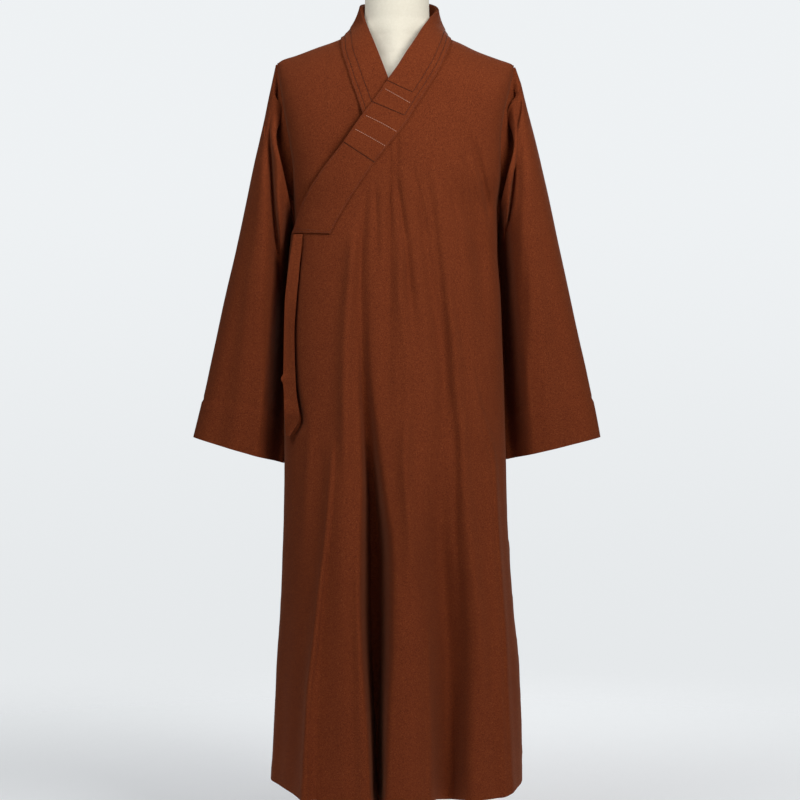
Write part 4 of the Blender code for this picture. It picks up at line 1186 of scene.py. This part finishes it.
def collar_path(stations, lines, layer):
    """A path on the outer face of one of the collar's layers."""
    full = np.full(len(stations), layer_height(layer))
    points = collar_point(stations, lines, full)
    above = collar_point(stations, lines, full + 1)
    return points, above - points


def collar_edge_path(first, last, edge_right, edge_left, inset, layer):
    """A path along one of the collar's long edges, inset from it by this distance."""
    stations = np.linspace(first, last, int((last - first) * 12) + 2)
    edge = round_neck(stations, edge_right, edge_left)
    wide = np.linalg.norm(collar_ground(stations, np.ones(len(stations)))
                          - collar_ground(stations, np.zeros(len(stations))), axis=-1)
    sign = 1 if edge_left < 0.1 else -1
    return collar_path(stations, edge + sign * inset / wide, layer)


PAINTED_SHADE_CLEAR = 0.5           # gap between a tier's edge and the middle of the painted shade beside it
INNER_INSET = 2.4           # how far inside the collar's inner edge its row runs
OUTER_INSET = 1.8           # and inside the outer edge
ROW_POINTS = 24             # points of a row across the collar
# Each kind of stitch: pitch, gap between two, radius of the thread.
LIGHT_STITCH = (3.4, 0.5, 0.5)
# near-black thread laid along the tiers' edges is painted shade, a dark line where each step is
# shaded
PAINTED_SHADE_STITCH = (3.0, 0.25, 0.45)
EDGE_STITCH = (3.0, 0.5, 0.32)
# Rows along the collar: first and last station, line at the wearer's right and left, inset, layer.
# these two rows of near-black thread are painted shade along the tiers' outer edges
PAINTED_SHADE_ROWS = [(0.1, 16.6, 0.66, 0.72, -PAINTED_SHADE_CLEAR, 2), (0.1, 17.7, 0.87, 0.86, -PAINTED_SHADE_CLEAR, 1)]
EDGE_ROWS = [
    (0.2, 17.0, 0.0, 0.0, INNER_INSET, 3), (17.25, 18.2, 0.0, 0.0, INNER_INSET, 2),
    (18.35, 19.95, 0.0, 0.0, INNER_INSET, 1), (20.05, 22.9, 0.0, 0.0, INNER_INSET, 0),
    (0.1, 19.9, 1.0, 1.0, OUTER_INSET, 1), (20.05, 22.95, 1.0, 1.0, OUTER_INSET, 0),
]
END_ROWS = (22.95, 22.86)   # stations of the two rows across the band's end
LIGHT_ROWS = [
    # light thread across the band: station and line at its start, at its end, layer
    (17.50, 0.09, 17.13, 0.83, 2), (18.96, 0.10, 18.57, 0.96, 1), (19.53, 0.08, 19.35, 0.97, 1),
]


def tier_end_path(index):
    """A path along the slanting end of one of the tiers, on the layer under it, where near-black
    thread paints the shade of that end.
    """
    _, last, slant, _, end = COLLAR_LAYERS[index]
    lines = np.linspace(0.02, 1, ROW_POINTS) * end
    return collar_path(last + PAINTED_SHADE_CLEAR / STATION_LENGTH - slant * lines / end, lines, index - 1)


def build_sewing(thread, light_thread, shade):
    """Light rows across the band, matching rows along the collar's edges, and rows of near-black
    thread along each tier's edges and ends: painted shade where the step down from a tier is shaded."""
    paths = []
    for station_a, line_a, station_b, line_b, layer in LIGHT_ROWS:
        share = np.linspace(0, 1, ROW_POINTS)
        paths.append(collar_path(station_a + (station_b - station_a) * share,
                                 line_a + (line_b - line_a) * share, layer))
    build_stitches("stitches_light", paths, *LIGHT_STITCH, light_thread, None)
    # painted shade: near-black thread along the tiers' edges and ends, where the steps between the
    # layers are shaded
    paths = [collar_edge_path(*row) for row in PAINTED_SHADE_ROWS]
    paths += [tier_end_path(index) for index in (3, 2, 1)]
    build_stitches("stitches_painted_shade", paths, *PAINTED_SHADE_STITCH, shade, None)
    paths = [collar_edge_path(*row) for row in EDGE_ROWS]
    across = np.linspace(0.03, 0.97, ROW_POINTS)
    paths += [collar_path(np.full(ROW_POINTS, station), across, 0) for station in END_ROWS]
    build_stitches("stitches_collar", paths, *EDGE_STITCH, thread, "russet_wool")


# ---- dress form --------------------------------------------------------------------------------

FORM_COLUMNS = 112
FORM_CHEST = 1340.0         # up to here the torso changes slowly
FORM_NECK = 1482.0          # from here up the neck is straight
FORM_CAP = 1524.0           # underside of the neck's cap
FORM_ROWS = (50, 64, 18)    # rows below the chest, up to the neck, and on the neck
FORM_POWER = 0.95           # a little squarer than an ellipse


def build_form(linen):
    """The torso with its straight neck, smoother than its solid."""
    count = FORM_COLUMNS
    turn = np.arange(count) * 2 * math.pi / count
    low = np.linspace(FORM_HIP, FORM_CHEST, FORM_ROWS[0])
    high = np.linspace(FORM_CHEST, FORM_NECK, FORM_ROWS[1])[1:]
    neck = np.linspace(FORM_NECK, FORM_CAP, FORM_ROWS[2])[1:]
    heights = np.concatenate([low, high, neck])
    grid = np.zeros((len(heights), count, 3))
    for row, height in enumerate(heights):
        level = np.full(count, height)
        left, right, front, back, extra_front, extra_back = (
            smooth_table(level, FORM, c) for c in range(1, 7))
        across = left + (right - left) * (1 - np.cos(turn)) / 2
        is_front = np.sin(turn) >= 0
        side = np.where(is_front, front, back) * np.abs(np.sin(turn)) ** FORM_POWER
        middle = np.where(is_front, extra_front, extra_back)
        fade = step(np.abs(np.sin(turn)), 0.0, 0.35)
        out = side + middle * bell(across, 0, NECK_BULGE) * fade
        grid[row] = np.stack([across, np.where(is_front, -out, out), level], axis=-1)
    index = np.arange(len(heights) * count).reshape(len(heights), count)
    right = np.roll(index, -1, axis=1)
    faces = np.stack([index[:-1], index[1:], right[1:], right[:-1]], axis=-1).reshape(-1, 4)
    corners = grid.reshape(-1, 3)[faces]
    cross = np.cross(corners[:, 2] - corners[:, 0], corners[:, 3] - corners[:, 1])
    facing = np.einsum("ij,ij->", corners.mean(axis=1) * (1, 1, 0), cross)
    if facing < 0:
        faces = faces[:, ::-1]
    faces = faces.tolist()
    bottom, top = index[0].tolist(), index[-1].tolist()
    faces += [bottom[::-1] if facing < 0 else bottom, top if facing < 0 else top[::-1]]
    add_piece("form_torso", grid.reshape(-1, 3), faces, linen, "form_body",
              cut_places(grid).reshape(-1, 2))


# ---- materials ---------------------------------------------------------------------------------

def new_material(name, colour, roughness, **values):
    """A material with its Principled shader; a value that is the same all over is on the socket."""
    made = bpy.data.materials.new(name)
    made.use_nodes = True
    made.diffuse_color = (*colour, 1)
    shader = made.node_tree.nodes["Principled BSDF"]
    shader.inputs["Base Color"].default_value = (*colour, 1)
    shader.inputs["Roughness"].default_value = roughness
    for socket, value in values.items():
        shader.inputs[socket.replace("_", " ")].default_value = value
    return made, shader


def add_node(tree, kind, inputs=(), **settings):
    """A node with its settings; inputs are (socket, value or output socket)."""
    node = tree.nodes.new(kind)
    for key, value in settings.items():
        setattr(node, key, value)
    for socket, value in inputs:
        if isinstance(value, bpy.types.NodeSocket):
            tree.links.new(value, node.inputs[socket])
        else:
            node.inputs[socket].default_value = value
    return node


def noise_node(tree, vector, scale, detail=2.0, rough=0.5):
    node = add_node(tree, "ShaderNodeTexNoise", [("Vector", vector), ("Scale", scale),
                                                 ("Detail", detail), ("Roughness", rough)])
    return node.outputs["Fac"]


def maths(tree, operation, a, b):
    node = add_node(tree, "ShaderNodeMath", [(0, a), (1, b)], operation=operation)
    return node.outputs[0]


def colour_ramp(tree, factor, stops):
    node = add_node(tree, "ShaderNodeValToRGB", [("Fac", factor)])
    ramp = node.color_ramp
    while len(ramp.elements) < len(stops):
        ramp.elements.new(0.5)
    for element, (place, colour) in zip(ramp.elements, stops):
        element.position = place
        element.color = (*colour, 1)
    return node.outputs["Color"]


def bump(tree, shader, height, strength, distance):
    node = add_node(tree, "ShaderNodeBump", [("Height", height), ("Strength", strength),
                                             ("Distance", distance)])
    tree.links.new(node.outputs["Normal"], shader.inputs["Normal"])


WOOL_DARK = (0.108, 0.0188, 0.0048)
WOOL_MIDDLE = (0.166, 0.0318, 0.0082)
WOOL_LIGHT = (0.222, 0.0480, 0.0130)
WOOL_FLECK = (0.320, 0.0980, 0.0340)


def wool_material(name):
    """Matt brushed wool: mottled fibres, a faint twill under the nap and a soft sheen."""
    made, shader = new_material(name, WOOL_MIDDLE, 0.92, Specular_IOR_Level=0.14, Sheen_Weight=0.09,
                                Sheen_Roughness=0.4, Sheen_Tint=(1.0, 0.52, 0.30, 1.0))
    tree = made.node_tree
    place = add_node(tree, "ShaderNodeTexCoord")
    where, cut = place.outputs["Object"], place.outputs["UV"]
    mottle = noise_node(tree, where, 560.0, 3.0, 0.62)
    fibre = noise_node(tree, where, 1500.0, 2.0, 0.6)
    cloud = noise_node(tree, where, 24.0, 3.0, 0.5)
    mixed = maths(tree, "ADD", maths(tree, "MULTIPLY", mottle, 0.64),
                  maths(tree, "ADD", maths(tree, "MULTIPLY", fibre, 0.32),
                        maths(tree, "MULTIPLY", cloud, 0.04)))
    stops = [(0.38, WOOL_DARK), (0.50, WOOL_MIDDLE), (0.61, WOOL_LIGHT), (0.72, WOOL_FLECK)]
    tree.links.new(colour_ramp(tree, mixed, stops), shader.inputs["Base Color"])
    twill = add_node(tree, "ShaderNodeTexWave", [("Vector", cut), ("Scale", 330.0),
                                                 ("Distortion", 1.6), ("Detail", 1.0),
                                                 ("Detail Scale", 1.5)],
                     wave_type="BANDS", bands_direction="DIAGONAL")
    height = maths(tree, "ADD", maths(tree, "MULTIPLY", fibre, 0.55),
                   maths(tree, "ADD", maths(tree, "MULTIPLY", mottle, 0.55),
                         maths(tree, "MULTIPLY", twill.outputs["Fac"], 0.22)))
    bump(tree, shader, height, 0.55, 0.0007)
    rough = maths(tree, "ADD", maths(tree, "MULTIPLY", mottle, 0.10), 0.86)
    tree.links.new(rough, shader.inputs["Roughness"])
    return made


def thread_material(name, colour):
    """Twisted sewing thread."""
    made, shader = new_material(name, colour, 0.62, Specular_IOR_Level=0.35, Sheen_Weight=0.08,
                                Sheen_Roughness=0.4)
    tree = made.node_tree
    place = add_node(tree, "ShaderNodeTexCoord")
    twist = noise_node(tree, place.outputs["Object"], 1800.0, 2.0, 0.5)
    stops = [(0.30, tuple(0.80 * c for c in colour)), (0.62, colour)]
    tree.links.new(colour_ramp(tree, twist, stops), shader.inputs["Base Color"])
    bump(tree, shader, twist, 0.4, 0.0003)
    return made


def linen_material():
    """Cream linen jersey stretched over the form, glowing faintly in its own colour as painted fill
    light.
    """
    colour = (0.665, 0.630, 0.530)
    made, shader = new_material("cream_linen", colour, 0.85, Specular_IOR_Level=0.25,
                                Sheen_Weight=0.06, Sheen_Roughness=0.5)
    tree = made.node_tree
    place = add_node(tree, "ShaderNodeTexCoord")
    weave = []
    for direction in ("X", "Y"):
        node = add_node(tree, "ShaderNodeTexWave", [("Vector", place.outputs["UV"]),
                                                    ("Scale", 380.0), ("Distortion", 0.8),
                                                    ("Detail", 1.0), ("Detail Scale", 2.0)],
                        wave_type="BANDS", bands_direction=direction)
        weave.append(node.outputs["Fac"])
    # painted light: the linen glows in its own colour to lift the neck's shaded sides, though it is
    # no lamp
    shader.inputs["Emission Color"].default_value = (*colour, 1)
    shader.inputs["Emission Strength"].default_value = 0.26
    threads = maths(tree, "MULTIPLY", weave[0], weave[1])
    slub = noise_node(tree, place.outputs["Object"], 240.0, 3.0, 0.6)
    mixed = maths(tree, "ADD", maths(tree, "MULTIPLY", threads, 0.35),
                  maths(tree, "MULTIPLY", slub, 0.65))
    stops = [(0.20, (0.610, 0.572, 0.472)), (0.55, colour), (0.85, (0.700, 0.668, 0.582))]
    tree.links.new(colour_ramp(tree, mixed, stops), shader.inputs["Base Color"])
    bump(tree, shader, mixed, 0.30, 0.0005)
    return made


def plain_material(name, colour, roughness, metallic, grain, stretch, depth):
    """Paint, plastic or metal with a fine grain in its tone, roughness and surface."""
    made, shader = new_material(name, colour, roughness, Metallic=metallic)
    tree = made.node_tree
    place = add_node(tree, "ShaderNodeTexCoord")
    scaled = add_node(tree, "ShaderNodeMapping", [("Vector", place.outputs["Object"]),
                                                  ("Scale", stretch)])
    fine = noise_node(tree, scaled.outputs["Vector"], grain, 3.0, 0.6)
    stops = [(0.25, tuple(0.90 * c for c in colour)), (0.75, tuple(min(1, 1.05 * c) for c in colour))]
    tree.links.new(colour_ramp(tree, fine, stops), shader.inputs["Base Color"])
    rough = maths(tree, "ADD", maths(tree, "MULTIPLY", fine, 0.16), roughness - 0.08)
    tree.links.new(rough, shader.inputs["Roughness"])
    bump(tree, shader, fine, 0.25, depth)
    return made


# ---- studio ------------------------------------------------------------------------------------

FLOOR_RADIUS = 9.0


def build_stage():
    """A pale floor that melts into the pale backdrop."""
    rings, sides = 10, 64
    points, faces = [(0.0, 0.0, 0.0)], []
    for r in range(1, rings + 1):
        for c in range(sides):
            turn = 2 * math.pi * c / sides
            far = FLOOR_RADIUS * r / rings
            points.append((far * math.cos(turn), far * math.sin(turn), 0.0))
    for c in range(sides):
        d = (c + 1) % sides
        faces.append((0, 1 + c, 1 + d))
        for r in range(rings - 1):
            a, b = 1 + r * sides, 1 + (r + 1) * sides
            faces.append((a + c, b + c, b + d, a + d))
    mesh = bpy.data.meshes.new("studio_floor")
    mesh.from_pydata(points, [], faces)
    made = bpy.data.materials.new("studio_floor")
    made.use_nodes = True
    tree = made.node_tree
    shader = tree.nodes["Principled BSDF"]
    shader.inputs["Base Color"].default_value = (0.90, 0.92, 0.94, 1)
    shader.inputs["Roughness"].default_value = 0.95
    shader.inputs["Specular IOR Level"].default_value = 0.1
    shader.inputs["Emission Color"].default_value = (0.90, 0.95, 1.0, 1)
    shader.inputs["Emission Strength"].default_value = 0.12
    place = add_node(tree, "ShaderNodeTexCoord")
    far = add_node(tree, "ShaderNodeVectorMath", [(0, place.outputs["Object"])],
                   operation="LENGTH").outputs["Value"]
    fade = add_node(tree, "ShaderNodeMapRange", [("Value", far), ("From Min", 0.4),
                                                 ("From Max", 2.6)],
                    interpolation_type="SMOOTHSTEP").outputs["Result"]
    clear = add_node(tree, "ShaderNodeBsdfTransparent")
    mix = add_node(tree, "ShaderNodeMixShader", [(0, fade), (1, shader.outputs["BSDF"]),
                                                 (2, clear.outputs["BSDF"])])
    tree.links.new(mix.outputs["Shader"], tree.nodes["Material Output"].inputs["Surface"])
    mesh.materials.append(made)
    floor = bpy.data.objects.new("studio_floor", mesh)
    bpy.context.scene.collection.objects.link(floor)


# Large soft lights, the brighter of the two in front at the right.
LIGHTS = [
    # name, place, target, size, power, colour
    ("key", (1.0, -1.5, 2.0), (0, 0, 1.2), (0.75, 0.75), 28.5, (1, 0.985, 0.965)),
    ("fill", (-0.95, -1.5, 2.2), (0, 0, 1.35), (0.9, 0.9), 11, (0.97, 0.985, 1)),
    ("top", (-0.8, -0.9, 2.8), (0, 0, 1.4), (1.1, 0.9), 8, (1, 1, 1)),
    ("back", (0.6, 3.2, 2.2), (0, 0, 1.0), (2.0, 1.8), 80, (1, 1, 1)),
]


def area_light(name, place, target, size, power, colour):
    """A rectangular light that is aimed at a point."""
    lamp = bpy.data.lights.new(name, "AREA")
    lamp.shape, lamp.size, lamp.size_y = "RECTANGLE", size[0], size[1]
    lamp.energy, lamp.color = power, colour
    made = bpy.data.objects.new(name, lamp)
    made.location = place
    made.rotation_euler = (Vector(target) - Vector(place)).to_track_quat("-Z", "Y").to_euler()
    bpy.context.scene.collection.objects.link(made)


BACKDROP = (0.840, 0.865, 0.882)
BACKDROP_SEEN = 1.02        # brightness of the backdrop as it is seen
BACKDROP_LOW = 0.94         # and towards the floor, where it darkens as painted shade
BACKDROP_LIGHT = 0.07       # and as it lights the object


def build_light():
    """The lights, and a pale backdrop all round."""
    for row in LIGHTS:
        area_light(*row)
    world = bpy.data.worlds.new("studio")
    bpy.context.scene.world = world
    world.use_nodes = True
    tree = world.node_tree
    ground = tree.nodes["Background"]
    ground.inputs["Color"].default_value = (*BACKDROP, 1)
    ray = add_node(tree, "ShaderNodeLightPath").outputs["Is Camera Ray"]
    way = add_node(tree, "ShaderNodeTexCoord").outputs["Generated"]
    rise = add_node(tree, "ShaderNodeSeparateXYZ", [("Vector", way)]).outputs["Z"]
    # as seen, the backdrop darkens towards the floor: painted shade standing in for the shade low
    # down near the robe
    seen = add_node(tree, "ShaderNodeMapRange", [("Value", rise), ("From Min", -0.14),
                                                 ("From Max", 0.12), ("To Min", BACKDROP_LOW),
                                                 ("To Max", BACKDROP_SEEN)],
                    interpolation_type="SMOOTHSTEP").outputs["Result"]
    strength = add_node(tree, "ShaderNodeMapRange", [("Value", ray), ("To Min", BACKDROP_LIGHT),
                                                     ("To Max", seen)])
    tree.links.new(strength.outputs["Result"], ground.inputs["Strength"])
    bpy.context.scene.view_settings.view_transform = "Standard"


CAMERA_AWAY = 3.6           # metres
CAMERA_ACROSS = 0.00534
CAMERA_HEIGHT = 0.803
SENSOR = 36
VIEW_WIDTH = 1.424          # metres seen across at the middle plane


def build_camera():
    """A level camera in front, at the height of the photo's middle."""
    lens = bpy.data.cameras.new("camera")
    lens.sensor_width = SENSOR
    lens.lens = SENSOR * CAMERA_AWAY / VIEW_WIDTH
    lens.clip_end = 60
    camera = bpy.data.objects.new("camera", lens)
    camera.location = (CAMERA_ACROSS, -CAMERA_AWAY, CAMERA_HEIGHT)
    camera.rotation_euler = (math.radians(90), 0, 0)
    bpy.context.scene.collection.objects.link(camera)
    bpy.context.scene.camera = camera


# ---- assembly ----------------------------------------------------------------------------------


def main():
    build_camera()
    build_stage()
    build_light()
    wool = wool_material("russet_wool")
    thread = thread_material("russet_thread", (0.120, 0.0250, 0.0090))
    light_thread = thread_material("light_thread", (0.56, 0.33, 0.24))
    build_panels(wool)
    build_sleeve("sleeve_right", SLEEVE_RIGHT, {**SLEEVE_FOLDS_RIGHT, **FINE_SLEEVE_RIGHT}, -1, wool)
    build_sleeve("sleeve_left", SLEEVE_LEFT, {**SLEEVE_FOLDS_LEFT, **FINE_SLEEVE_LEFT}, 1, wool)
    build_collar(wool)
    build_tie(wool)
    # near-black thread that paints the shade along the collar tiers' edges
    build_sewing(thread, light_thread, thread_material("painted_shade_thread", (0.030, 0.0075, 0.0035)))
    build_form(linen_material())
    looks = {
        "form_cap": plain_material("cream_cap", (0.78, 0.73, 0.64), 0.55, 0.0, 90.0,
                                   (1, 1, 1), 0.0004),
        "form_pole": plain_material("brushed_steel", (0.56, 0.56, 0.57), 0.34, 1.0, 60.0,
                                    (1, 1, 40), 0.00005),
        "form_base": plain_material("white_enamel", (0.82, 0.82, 0.80), 0.38, 0.0, 420.0,
                                    (1, 1, 1), 0.0001),
    }
    looks["form_collar"] = looks["form_socket"] = looks["form_pole"]
    for node, look in looks.items():
        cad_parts[node].material_slots[0].material = look


main()
